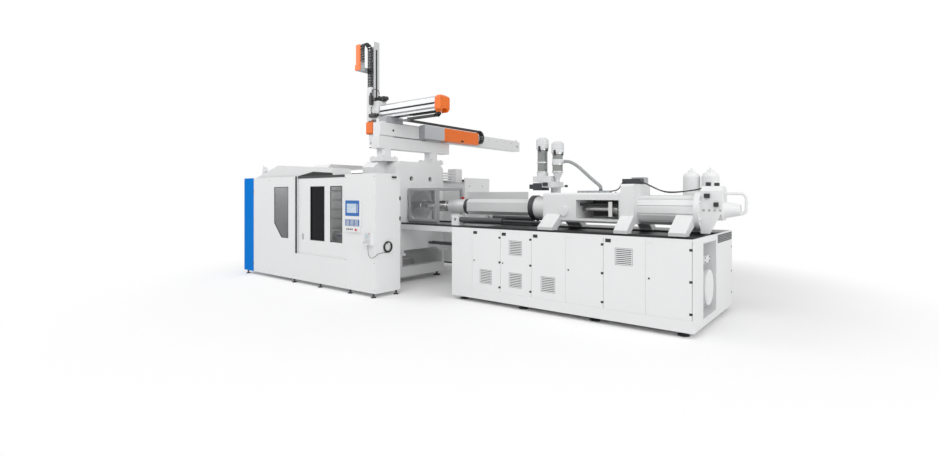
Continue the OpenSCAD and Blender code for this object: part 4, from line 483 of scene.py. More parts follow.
def head_group():
    """Round or hexagonal heads on points, all facing one way."""
    group, tree, given = node_group("Heads on points", [
        ("Radius", "NodeSocketFloat", 0.01), ("Height", "NodeSocketFloat", 0.005), ("Sides", "NodeSocketInt", 12),
        ("Facing", "NodeSocketVector", (0, 0, 1)), ("Material", "NodeSocketMaterial", None)])
    head = tree.out("GeometryNodeMeshCylinder", "Mesh", None,
                    {"Vertices": given["Sides"], "Radius": given["Radius"], "Depth": given["Height"]})
    turn = tree.out("FunctionNodeAlignRotationToVector", 0, {"axis": "Z"}, {"Vector": given["Facing"]})
    heads = tree.out("GeometryNodeInstanceOnPoints", 0, None,
                     {"Points": given["Geometry"], "Instance": head, "Rotation": turn})
    close_group(tree, heads, given["Material"])
    return group


def slat_group():
    """Blocks of one size on points."""
    group, tree, given = node_group("Blocks on points", [
        ("Size", "NodeSocketVector", (0.01, 0.01, 0.01)), ("Material", "NodeSocketMaterial", None)])
    block = tree.out("GeometryNodeMeshCube", "Mesh", None, {"Size": given["Size"]})
    blocks = tree.out("GeometryNodeInstanceOnPoints", 0, None, {"Points": given["Geometry"], "Instance": block})
    close_group(tree, blocks, given["Material"])
    return group


def link_group():
    """Chain links along a line: two side plates and two crossbars each."""
    group, tree, given = node_group("Links along a line", [
        ("Pitch", "NodeSocketFloat", 0.06), ("Width", "NodeSocketFloat", 0.12), ("Thickness", "NodeSocketFloat", 0.036),
        ("Side", "NodeSocketVector", (1, 0, 0)), ("Material", "NodeSocketMaterial", None)])
    pitch, width, thick = given["Pitch"], given["Width"], given["Thickness"]

    def block(x, y, z, move_y, move_z):
        size = tree.out("ShaderNodeCombineXYZ", 0, None, {0: x, 1: y, 2: z})
        cube = tree.out("GeometryNodeMeshCube", "Mesh", None, {"Size": size})
        move = tree.out("ShaderNodeCombineXYZ", 0, None, {1: move_y, 2: move_z})
        return tree.out("GeometryNodeTransform", 0, None, {"Geometry": cube, "Translation": move})

    # Shares of the pitch, the width and the thickness
    plate_long, plate_wide, plate_out = 0.94, 0.07, 0.465
    bar_long, bar_wide, bar_thick, bar_out = 0.72, 0.9, 0.2, 0.39
    parts = [block(pitch * plate_long, width * plate_wide, thick, width * plate_out * s, 0.0) for s in (-1, 1)]
    parts += [block(pitch * bar_long, width * bar_wide, thick * bar_thick, 0.0, thick * bar_out * s) for s in (-1, 1)]
    join = tree.node("GeometryNodeJoinGeometry")
    for part in parts:
        tree.links.new(part.socket, join.inputs[0])
    line = tree.out("GeometryNodeMeshToCurve", 0, None, {0: given["Geometry"]})
    places = tree.out("GeometryNodeResampleCurve", 0, {"mode": "LENGTH"}, {"Curve": line, "Length": pitch})
    tangent = tree.out("GeometryNodeInputTangent", 0)
    along = tree.out("FunctionNodeAlignRotationToVector", 0, {"axis": "X"}, {"Vector": tangent})
    turn = tree.out("FunctionNodeAlignRotationToVector", 0, {"axis": "Y", "pivot_axis": "X"},
                    {"Rotation": along, "Vector": given["Side"]})
    links = tree.out("GeometryNodeInstanceOnPoints", 0, None,
                     {"Points": places, "Instance": join.outputs[0], "Rotation": turn})
    close_group(tree, links, given["Material"])
    return group


GROUPS = {}


def grown(name, group, places, finish, edges=(), **values):
    """A plain mesh grown by a tree from places in the row frame."""
    if group not in GROUPS:
        GROUPS[group] = {"heads": head_group, "blocks": slat_group, "links": link_group}[group]()
    tree = GROUPS[group]
    mesh = bpy.data.meshes.new(name)
    mesh.from_pydata([tuple(p) for p in places], list(edges), [])
    piece = bpy.data.objects.new(name, mesh)
    bpy.context.scene.collection.objects.link(piece)
    grow = piece.modifiers.new("grow", "NODES")
    grow.node_group = tree
    values["Material"] = FINISHES[finish]
    for socket in tree.interface.items_tree:
        if socket.in_out == "INPUT" and socket.name in values:
            grow[socket.identifier] = values[socket.name]
    bpy.context.view_layer.update()
    solid = bpy.data.meshes.new_from_object(piece.evaluated_get(bpy.context.evaluated_depsgraph_get()))
    piece.modifiers.clear()
    bpy.data.objects.remove(piece)
    return mesh_object(name, solid, finish)


def heads(name, places, radius, height, facing, finish, body, sides=12):
    """Bolt heads, caps or buttons at places given from the machine's own zero."""
    piece = grown(name, "heads", [spot(*p) for p in places], finish, Radius=radius, Height=height, Sides=sides,
                  Facing=facing)
    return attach(piece, body)


def cover_screws(name, places, facing, body):
    """Heads of the small screws that hold a cover."""
    radius = bpy.context.scene.machine_details.screw
    return heads(name, places, radius, SCREW_HEIGHT, facing, "dark steel", body, SCREW_SIDES)


def slats(name, places, size, finish, body):
    """Blocks of one size at places given from the machine's own zero."""
    piece = grown(name, "blocks", [spot(*p) for p in places], finish, Size=size)
    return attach(piece, body)


def chain_links(name, line, side, settings):
    edges = [(i, i + 1) for i in range(len(line) - 1)]
    return grown(name, "links", line, "chain black", edges, Pitch=settings.pitch, Width=settings.width,
                 Thickness=settings.thickness, Side=side)


def colour_value(name, description, default):
    return FloatVectorProperty(name=name, description=description, subtype="COLOR", size=3, min=0, max=1,
                               default=default)


def length_value(name, description, default):
    return FloatProperty(name=name, description=description, unit="LENGTH", default=default)


class MachinePaints(PropertyGroup):
    """Colours of the machine."""
    white: colour_value("White paint", "Guards, doors, platens and housings", (0.8, 0.805, 0.81))
    pale: colour_value("Pale grey paint", "Bed, roof and arm carriage", (0.74, 0.745, 0.75))
    blue: colour_value("Blue paint", "Panel at the clamp's far end", (0.0, 0.19, 0.66))
    grey: colour_value("Grey paint", "Nozzle guard and its door", (0.36, 0.37, 0.38))
    dark: colour_value("Dark paint", "Feet, rails, carriage fittings and deck mats", (0.035, 0.037, 0.04))
    orange: colour_value("Orange covers", "Covers of the robot", (0.9, 0.17, 0.007))
    aluminium: colour_value("Aluminium", "Kick beam and arm of the robot", (0.62, 0.63, 0.64))
    # Cover of the gate panes, whose dark colour is painted shade of the unlit inside
    pane_alpha: FloatProperty(name="Pane cover", description="How much the gate's panes hide what is behind",
                              subtype="FACTOR", min=0, max=1, default=0.97)


class CordSizes(PropertyGroup):
    """Sizes of the pendant's cable and the material hose."""
    cable_radius: length_value("Cable radius", "Half the pendant cable's thickness", 0.004)
    coil_pitch: length_value("Coil pitch", "Distance between turns of the coiled cable", 0.0086)
    coil_layers: IntProperty(name="Coil layers", description="Layers of turns in the coil", min=1, default=3)
    coil_turns: IntProperty(name="Turns a layer", description="Turns in each layer of the coil", min=1, default=3)
    hose_radius: length_value("Hose radius", "Half the material hose's thickness", 0.0265)


class ChainSizes(PropertyGroup):
    """Sizes of the energy chains' links."""
    pitch: length_value("Pitch", "Distance from link to link", 0.056)
    width: length_value("Width", "Width of a link", 0.12)
    thickness: length_value("Thickness", "Height of a link", 0.036)


class DetailSizes(PropertyGroup):
    """Sizes of the small pieces on the machine, and the strength of the light."""
    bolt: length_value("Bolt head", "Radius of a large bolt head", 0.018)
    screw: length_value("Screw head", "Radius of a cover screw", 0.007)
    seal: length_value("Seal width", "Width of a window's seal", 0.014)
    hinge_cap: length_value("Hinge cap", "Half the height of a door's hinge cap", 0.016)
    light: FloatProperty(name="Lamp strength", description="Power of each studio lamp", unit="POWER", default=270.0)
    sky: FloatProperty(name="Sky strength", description="Strength of the light from all round", default=0.5)


class MOULDING_OT_finishes(Operator):
    """Makes every finish and puts one on each CAD node"""
    bl_idname = "moulding.finishes"
    bl_label = "Finishes"

    # CAD nodes of each finish
    CHOSEN = {
        "pale paint": "clamp_bed roof_cover arm_carriage",
        "dark paint": "levelling_feet guide_rails carriage_fittings",
        "white paint": (
            "fixed_platen moving_platen front_guard_left front_guard_sill control_column front_gate "
            "rear_guard rear_guard_end rear_gate pendant_holder injection_base cabinet_door_1 cabinet_door_2 "
            "cabinet_door_3 cabinet_door_4 feed_housing injection_frame injection_cylinder hydraulic_unit"),
        "bright steel": "tie_bars ejector barrel screw piston_coupling",
        "dark cast": "tie_bar_locks drive_cylinders pump_set",
        "window pane": "guard_pane",
        "gate pane": "gate_panes",
        "blue paint": "end_panel",
        "panel paint": "control_panel",
        "red plastic": "emergency_stop",
        "white plastic": "pendant loaders",
        "cable black": "pendant_cable pendant_cable_coil",
        "grey paint": "nozzle_guard nozzle_guard_door",
        "nozzle pane": "nozzle_guard_pane",
        "robot paint": "robot_frame",
        "orange cover": "chain_cover kick_end_cap",
        "chain black": "traverse_chain kick_chain arm_chain",
        "robot grey": "traverse_carriage",
        "aluminium": "kick_beam",
        "black plastic": "servo_motors",
        "arm aluminium": "robot_arm",
        "arm cover": "arm_covers",
        "black metal": "wrist",
        "cover steel": "barrel_guard",
        "loader glass": "loader_glass",
        "hose grey": "material_hose",
    }

    def execute(self, context):
        finish_of = {node: finish for finish, nodes in self.CHOSEN.items() for node in nodes.split()}
        need(*finish_of)
        p = context.scene.machine_paints
        self.paints(p)
        self.metals(p)
        self.plastics(p)
        self.panes(p)
        self.displays()
        for name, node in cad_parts.items():
            node.data.materials.clear()
            node.data.materials.append(FINISHES[finish_of[name]])
        return {"FINISHED"}

    def paints(self, p):
        """Painted sheets and castings, some with fields of a second colour."""
        paint("white paint", p.white)
        paint("pale paint", p.pale, rough=0.45)
        paint("blue paint", p.blue, rough=0.5).feed("Specular IOR Level", 0.03)
        paint("grey paint", p.grey, rough=0.45)
        paint("dark paint", p.dark, rough=0.5)
        paint("dark cast", (0.09, 0.095, 0.1), rough=0.55, peel=0.12, metallic=0.3)
        paint("robot grey", (0.4, 0.41, 0.43), rough=0.42)
        paint("cover steel", (0.68, 0.685, 0.69), rough=0.36, peel=0.03, metallic=0.2)
        paint("black metal", (0.03, 0.032, 0.04), rough=0.4)
        self.panel_paint(p)
        self.robot_paint(p)
        self.slot_shade()

    def metals(self, p):
        """Bare metals, with the marks of their making."""
        metal("bright steel", (0.7, 0.7, 0.69), rough=0.25, stretch=(0.05, 1, 1))
        metal("dark steel", (0.2, 0.2, 0.21), rough=0.42, stretch=(1, 1, 0.1))
        metal("aluminium", p.aluminium, rough=0.42, stretch=(0.04, 1, 1))
        metal("arm aluminium", p.aluminium, rough=0.42, stretch=(1, 1, 0.04))
        metal("zinc", (0.47, 0.47, 0.46), rough=0.36, stretch=(1, 1, 1), scale=40.0)

    def plastics(self, p):
        """Moulded covers, cables, keys and seals."""
        moulded("orange cover", p.orange, rough=0.42)
        moulded("chain black", (0.022, 0.022, 0.024), rough=0.45)
        moulded("black plastic", (0.02, 0.02, 0.022), rough=0.42)
        moulded("rubber", (0.016, 0.016, 0.016), rough=0.7, grain=0.2)
        moulded("white plastic", (0.72, 0.73, 0.74), rough=0.35)
        moulded("grey plastic", (0.4, 0.42, 0.44), rough=0.4)
        moulded("red plastic", (0.62, 0.02, 0.015), rough=0.3)
        moulded("key white", (0.62, 0.64, 0.66), rough=0.35)
        moulded("hose grey", (0.34, 0.35, 0.36), rough=0.5, grain=0.3)
        moulded("cable black", (0.025, 0.025, 0.027), rough=0.45)
        self.arm_cover(p)

    def panes(self, p):
        """Windows and sight tubes."""
        self.gate_pane(p)
        pane("window pane", (0.03, 0.032, 0.035), alpha=0.06)
        pane("nozzle pane", (0.6, 0.62, 0.64), alpha=0.1)
        pane("loader glass", (0.35, 0.37, 0.36), alpha=0.75, rough=0.1)

    def displays(self):
        """The panel's display in blue fields, the hand set's in pale rows."""
        f = display("panel display", (0.01, 0.012, 0.016, 1), field=(0.062, 0.021), joint=0.002,
                    tones=((0.62, 0.78, 0.92, 1), (0.86, 0.92, 0.97, 1), (0.22, 0.36, 0.6, 1)))
        f.patches(scale=3.0, spread=0.05, least=0.1)
        f = display("hand display", (0.02, 0.025, 0.03, 1), field=(0.05, 0.017), joint=0.0016,
                    tones=((0.7, 0.78, 0.8, 1), (0.6, 0.7, 0.75, 1), (0.3, 0.38, 0.44, 1)))
        f.feed("Roughness", 0.15)

    def panel_paint(self, p):
        """White housing whose raised fields are blue."""
        f = Finish("panel paint")
        raised = 0.0035
        field = f.y < low("control_panel").y + ZERO.y + raised
        f.feed("Base Color", f.mix(field, rgba(p.white), (0.012, 0.13, 0.42, 1)))
        f.patches(PATCH_SCALE, spread=0.1, least=0.35)
        f.skin(SKIN_SCALE, 0.03)

    def gate_pane(self, p):
        """Two near-black, nearly opaque panes: real glass with painted shade of the unlit inside; the one at the fixed
        platen shows more of the inside.
        """
        f = Finish("gate pane")
        # Near-black colour with high cover: painted shade of the unlit clamp inside
        f.feed("Base Color", f.mix(f.grain(1.3), (0.008, 0.008, 0.01, 1), (0.014, 0.014, 0.016, 1)))
        f.patches(scale=4.0, spread=0.05, least=0.06)
        between, clearer = 0.56, -0.88
        second = f.x > low("gate_panes").x + ZERO.x + between
        f.feed("Alpha", second * clearer + p.pane_alpha)
        f.feed("Specular IOR Level", 0.06)
        f.material.surface_render_method = "BLENDED"

    def robot_paint(self, p):
        """White robot frame whose chain tray is grey."""
        f = Finish("robot paint")
        face, start, end, floor = ZERO.x - 1.038, ZERO.y + 0.2, ZERO.y + 0.87, 3.002
        tray = (f.x > face) * f.y.inside(start, end) * (f.z > floor)
        white = f.mix(f.grain(CLOUD_SCALE) * 0.4, rgba(p.white), shaded(p.white, 0.94))
        f.feed("Base Color", f.mix(tray, white, (0.5, 0.51, 0.53, 1)))
        f.patches(PATCH_SCALE, spread=0.12, least=0.34)
        f.skin(SKIN_SCALE, 0.04)

    def arm_cover(self, p):
        """Orange covers whose bracket behind the hood is grey."""
        f = Finish("arm cover")
        behind, above = low("arm_covers").y + ZERO.y + 0.03, AXIS_Z + 2.0
        bracket = (f.y > behind) * (f.z > above)
        f.feed("Base Color", f.mix(bracket, rgba(p.orange), (0.4, 0.42, 0.44, 1)))
        f.patches(PEBBLE_SCALE, spread=0.15, least=0.35)
        f.skin(PEBBLE_SCALE, 0.1)

    def slot_shade(self):
        """Painted shade: the shadowed space behind the doors' slots and inside the injection unit's open frame."""
        f = Finish("slot shade")
        f.feed("Base Color", f.mix(f.grain(30.0), (0.1, 0.1, 0.105, 1), (0.16, 0.16, 0.165, 1)))
        f.patches(scale=12.0, spread=0.1, least=0.75)


class MOULDING_OT_cords(Operator):
    """Lays the pendant's cable with its coil and the material hose"""
    bl_idname = "moulding.cords"
    bl_label = "Cords"

    # Places along the cable, from the pendant's gland to the coil's hook
    CABLE_ROUTE = [
        (-0.165, -1.929, 0.9147), (-0.165, -1.929, 0.88), (-0.163, -1.930, 0.84), (-0.156, -1.932, 0.795),
        (-0.143, -1.934, 0.752), (-0.122, -1.936, 0.718), (-0.095, -1.936, 0.697), (-0.062, -1.934, 0.69),
        (-0.03, -1.93, 0.696), (-0.004, -1.92, 0.71), (0.012, -1.902, 0.727), (0.0165, -1.876, 0.745),
        (0.0165, -1.846, 0.758), (0.0165, -1.812, 0.766), (0.0165, -1.776, 0.768),
    ]
    # Places along the hose, from the second loader to the fitting on the frame
    HOSE_ROUTE = [
        (2.6653, -0.1, 2.34), (2.7, -0.1, 2.34), (2.755, -0.098, 2.332), (2.815, -0.095, 2.307),
        (2.88, -0.092, 2.268), (2.945, -0.088, 2.218), (3.01, -0.084, 2.16), (3.075, -0.079, 2.1),
        (3.138, -0.074, 2.044), (3.198, -0.069, 1.994), (3.248, -0.064, 1.952), (3.28, -0.061, 1.922),
        (3.29, -0.06, 1.895), (3.29, -0.06, 1.8683),
    ]
    COIL_STEPS = 36  # Points in a turn of the coil
    COIL_EDGE = 0.006  # From the coil's outside to its outermost line
    LEAST_STEP = 0.002  # Places closer than this count as one

    def execute(self, context):
        need("pendant_cable", "pendant_cable_coil", "material_hose")
        sizes = context.scene.machine_cords
        whole = self.cable_line(sizes)
        cable = curve_piece("pendant_cable_run", [whole], sizes.cable_radius, "cable black")
        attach(cable, "machine")
        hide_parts("pendant_cable", "pendant_cable_coil")
        length = run_length(whole)
        hose_line = smooth_route([spot(*p) for p in self.HOSE_ROUTE], 5)
        hose = curve_piece("material_hose_run", [hose_line], sizes.hose_radius, "hose grey", 5)
        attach(hose, "injection_unit")
        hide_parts("material_hose")
        length = run_length(hose_line)
        return {"FINISHED"}

    def cable_line(self, sizes):
        """The cable from its gland over the hook and round the coil to its short tail."""
        line = smooth_route([spot(*p) for p in self.CABLE_ROUTE])
        wound = self.coil(sizes)
        start, end = wound[0], wound[-1]
        hook = spot(0.0120, -1.72, start.z + 0.003)
        join = smooth_route([line[-1], hook, start + Vector((0, -0.03, 0.0004)), start], 6)
        tail = smooth_route([end, end + Vector((0.004, 0.03, 0.004)), end + Vector((0.006, 0.05, 0.012))], 5)
        return self.even(line[:-1] + join[:-1] + wound + tail[1:])

    def coil(self, sizes):
        """Layers of turns from the lowest place, wound inwards and outwards in turn."""
        coil_low, coil_high = low("pendant_cable_coil"), high("pendant_cable_coil")
        middle = (coil_low + coil_high) / 2
        outer = (coil_high.y - coil_low.y) / 2 - self.COIL_EDGE
        first = middle.x - sizes.coil_pitch * (sizes.coil_layers - 1) / 2
        wound = []
        for layer in range(sizes.coil_layers):
            for k in range(sizes.coil_turns * self.COIL_STEPS + 1):
                turn = k / self.COIL_STEPS
                inward = turn if layer % 2 == 0 else sizes.coil_turns - turn
                radius = outer - inward * sizes.coil_pitch
                angle = math.radians(-90) + turn * 2 * math.pi
                wound.append(spot(first + layer * sizes.coil_pitch, middle.y + radius * math.cos(angle),
                                  middle.z + radius * math.sin(angle)))
        return wound

    def even(self, line):
        """The line without places that lie on top of each other."""
        kept = [line[0]]
        for place in line[1:]:
            if (place - kept[-1]).length > self.LEAST_STEP:
                kept.append(place)
        return kept


class MOULDING_OT_chains(Operator):
    """Grows the links of the three energy chains, which roll as the robot moves"""
    bl_idname = "moulding.chains"
    bl_label = "Energy chains"

    # Node, body of its holder, body of its loop, axes along the chain and towards the holder's run, the links' side,
    # and how far from the node's low end the holder's run and the other run start
    CHAINS = (
        ("traverse_chain", "traverse", "traverse_loop", "yz", (1, 0, 0), 0.0, 0.52),
        ("kick_chain", "traverse", "kick_loop", "xZ", (0, 1, 0), 0.0, 0.06),
        ("arm_chain", "arm", "arm_loop", "zY", (1, 0, 0), 0.55, 0.0),
    )
    BEND_STEPS = 16

    def execute(self, context):
        need(*(row[0] for row in self.CHAINS))
        for row in self.CHAINS:
            self.chain(context.scene.machine_chains, *row)
        return {"FINISHED"}

    def chain(self, sizes, node, holder, loop, axes, side, run_from, rest_from):
        """The run at its holder is laid in place, and the bend rolls on with the other run."""
        ways = {"x": Vector((1, 0, 0)), "y": Vector((0, 1, 0)), "z": Vector((0, 0, 1))}
        along = ways[axes[0]]
        out = ways[axes[1].lower()] * (1 if axes[1].islower() else -1)
        a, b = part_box(node)
        middle = (a + b) / 2
        radius = abs((b - a).dot(out)) / 2 - sizes.thickness / 2
        centre = middle + along * ((b - a).dot(along) / 2 - radius - sizes.thickness / 2)

        def place(start, sign):
            return centre + along * (a.dot(along) + start - centre.dot(along)) + out * radius * sign

        run = [place(run_from, 1), centre + out * radius]
        first = chain_links(node + "_run", run, side, sizes)
        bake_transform(first)
        turns = [math.pi * k / self.BEND_STEPS for k in range(self.BEND_STEPS + 1)]
        bend = [centre + (out * math.cos(t) + along * math.sin(t)) * radius for t in turns]
        rest = chain_links(node + "_bend", bend + [place(rest_from, -1)], side, sizes)
        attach(rest, loop)
        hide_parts(node)


class MOULDING_OT_guard_trim(Operator):
    """Fits seals, latches, hinges, screws and pulls to the guards, and a lamp, a bracket and a dark plate of painted
    shade to their top
    """
    bl_idname = "moulding.guard_trim"
    bl_label = "Guard trim"

    PANES = (0.471, 0.367)  # Widths of the gate's two panes
    CUT_CORNER = (0.28, 0.29)  # The guard pane's cut corner, along X and Z
    SEAL_PROUD = 0.002
    LATCH_LEVELS = (1.85, 0.25)
    HINGE_LEVELS = (1.355, 1.72)
    FRONT_SEAMS = (-4.12, -3.5, -2.53)
    COLUMN_SEAMS = (-0.82, -0.03)
    REAR_SEAMS = (-4.45, -3.7, -2.95)
    HEAD_OUT = 0.0015  # From a sheet's face to the middle of a screw head
    CUP = (0.056, 0.001, 0.126)  # Floor of a recessed pull
    CUP_X, CUP_Z, CUP_DEPTH = -2.245, 0.95, 0.0215
    # Outline of the dark plate of painted shade at the roof
    SHADE = [(-2.46, 2.1605), (-1.28, 2.1605), (-1.28, 2.2), (-1.9, 2.24)]
    BRACKET = [(-4.25, 2.16), (-4.17, 2.16), (-4.14, 2.29), (-4.03, 2.33), (-4.05, 2.4), (-4.19, 2.45)]

    def execute(self, context):
        need("front_guard_left", "front_gate", "gate_panes", "guard_pane", "control_column", "roof_cover",
             "rear_guard", "rear_gate")
        front = low("front_guard_left").y
        self.seals(context.scene.machine_details.seal, front)
        self.fittings(front)
        self.screws(front)
        for name, y, body in (("rear_handle_cup", high("rear_gate").y - self.CUP_DEPTH, "rear_gate"),
                              ("gate_handle_cup", low("front_gate").y + self.CUP_DEPTH, "front_gate")):
            slats(name, [(self.CUP_X, y, self.CUP_Z)], self.CUP, "black plastic", body)
        return {"FINISHED"}

    def seals(self, width, front):
        """Rubber round the panes of the gate and of the guard."""
        gate = low("front_gate").y
        a, b = low("gate_panes"), high("gate_panes")
        first, second = self.PANES
        panes = [oblong(x0, x1, a.z, b.z) for x0, x1 in ((a.x, a.x + first), (b.x - second, b.x))]
        rim_piece("gate_window_seals", "rubber", "front_gate", panes, width, (gate - self.SEAL_PROUD, gate + 0.012))
        a, b = low("guard_pane"), high("guard_pane")
        cut_x, cut_z = self.CUT_CORNER
        outline = [(a.x + cut_x, a.z), (b.x, a.z), (b.x, b.z), (a.x, b.z), (a.x, a.z + cut_z)]
        rim_piece("guard_window_seal", "rubber", "machine", [outline], width, (front - self.SEAL_PROUD, front + 0.008))

    def fittings(self, front):
        """Latches, hinges and lamp on the columns, a dark plate of painted shade and a bracket on the roof."""
        latches = stacked((-4.172, -4.152), (front - 0.006, front + 0.001), 0.03, self.LATCH_LEVELS)
        box_piece("end_panel_latches", "black plastic", "machine", *latches)
        edge = high("control_column").y
        hinges = stacked((-0.012, 0.01), (edge - 0.022, edge + 0.004), 0.035, self.HINGE_LEVELS)
        box_piece("column_hinges", "black plastic", "machine", *hinges, bevel=0.003)
        box_piece("column_lamp", "black plastic", "machine", ((-0.002, -1.53, 2.082), (0.03, -1.43, 2.116)),
                  bevel=0.008)
        roof = low("roof_cover").y
        # A dark plate just in front of the roof cover is painted shade of its slot
        plate_piece("roof_slot_shade", "rubber", "machine", self.SHADE, (roof - 0.006, roof - 0.0005))
        plate_piece("end_lamp_bracket", "white paint", "machine", self.BRACKET, (-1.66, -1.63))

    def screws(self, front):
        """Screws along the seams of the sheets, and a small panel with its own."""
        y = (front - self.HEAD_OUT,)
        seams = grid(self.FRONT_SEAMS, y, (0.13, 2.1)) + grid(self.COLUMN_SEAMS, y, (0.13, 0.6, 2.1))
        cover_screws("guard_screws", seams, FRONT, "machine")
        box_piece("rear_access_panel", "white paint", "machine", ((-0.381, 1.12, 1.3), (-0.376, 1.66, 2.02)))
        heads("rear_panel_screws", grid((-0.375,), (1.16, 1.62), (1.62, 1.98)), 0.012, 0.005, RIGHT, "dark steel",
              "machine")
        seams = grid(self.REAR_SEAMS, (high("rear_guard").y + self.HEAD_OUT,), (0.16, 1.1, 2.06))
        cover_screws("rear_guard_screws", seams, BACK, "machine")


class MOULDING_OT_control_panel(Operator):
    """Fits display and keys to the control panel and to the hand set"""
    bl_idname = "moulding.control_panel"
    bl_label = "Control panel"

    KEY_COLUMNS, KEY_PITCH_X = 14, 0.0245
    KEY_ROWS, KEY_PITCH_Z = 5, 0.0225
    SOFT_KEYS, SOFT_PITCH = 6, 0.026
    SWITCHES, SWITCH_PITCH = 4, 0.05
    HAND_COLUMNS, HAND_ROWS, HAND_PITCH = 6, 4, 0.018
    NO_KEYS = (4, 9)  # Columns left free between the blocks of keys
    KEY = (0.019, 0.003, 0.016)
    SOFT_KEY = (0.03, 0.003, 0.016)
    HAND_KEY = (0.013, 0.003, 0.012)

    def execute(self, context):
        need("control_panel", "pendant")
        a = low("control_panel")
        box_piece("panel_screen", "panel display", "machine",
                  ((a.x + 0.056, a.y + 0.001, a.z + 0.345), (a.x + 0.326, a.y + 0.0045, a.z + 0.51)), bevel=0.0)
        columns = spaced(a.x + 0.05, self.KEY_PITCH_X, self.KEY_COLUMNS)
        columns = [x for i, x in enumerate(columns) if i not in self.NO_KEYS]
        keys = grid(columns, (a.y - 0.001,), spaced(a.z + 0.126, self.KEY_PITCH_Z, self.KEY_ROWS))
        slats("panel_keys", keys, self.KEY, "key white", "machine")
        side = grid((a.x + 0.36,), (a.y - 0.001,), spaced(a.z + 0.36, self.SOFT_PITCH, self.SOFT_KEYS))
        slats("panel_soft_keys", side, self.SOFT_KEY, "key white", "machine")
        switches = grid(spaced(a.x + 0.06, self.SWITCH_PITCH, self.SWITCHES), (a.y + 0.002,), (a.z + 0.05,))
        heads("panel_switches", switches, 0.013, 0.012, FRONT, "black plastic", "machine", 16)
        a, b = low("pendant"), high("pendant")
        box_piece("hand_set_screen", "hand display", "machine",
                  ((a.x + 0.028, a.y + 0.001, a.z + 0.11), (b.x - 0.028, a.y + 0.0035, a.z + 0.18)), bevel=0.0)
        columns = spaced(a.x + 0.03, self.HAND_PITCH, self.HAND_COLUMNS)
        keys = grid(columns, (a.y - 0.0005,), spaced(a.z + 0.034, self.HAND_PITCH, self.HAND_ROWS))
        slats("hand_set_keys", keys, self.HAND_KEY, "key white", "machine")
        heads("hand_set_stop", [(b.x - 0.02, a.y - 0.003, b.z - 0.012)], 0.009, 0.008, FRONT, "red plastic", "machine")
        return {"FINISHED"}


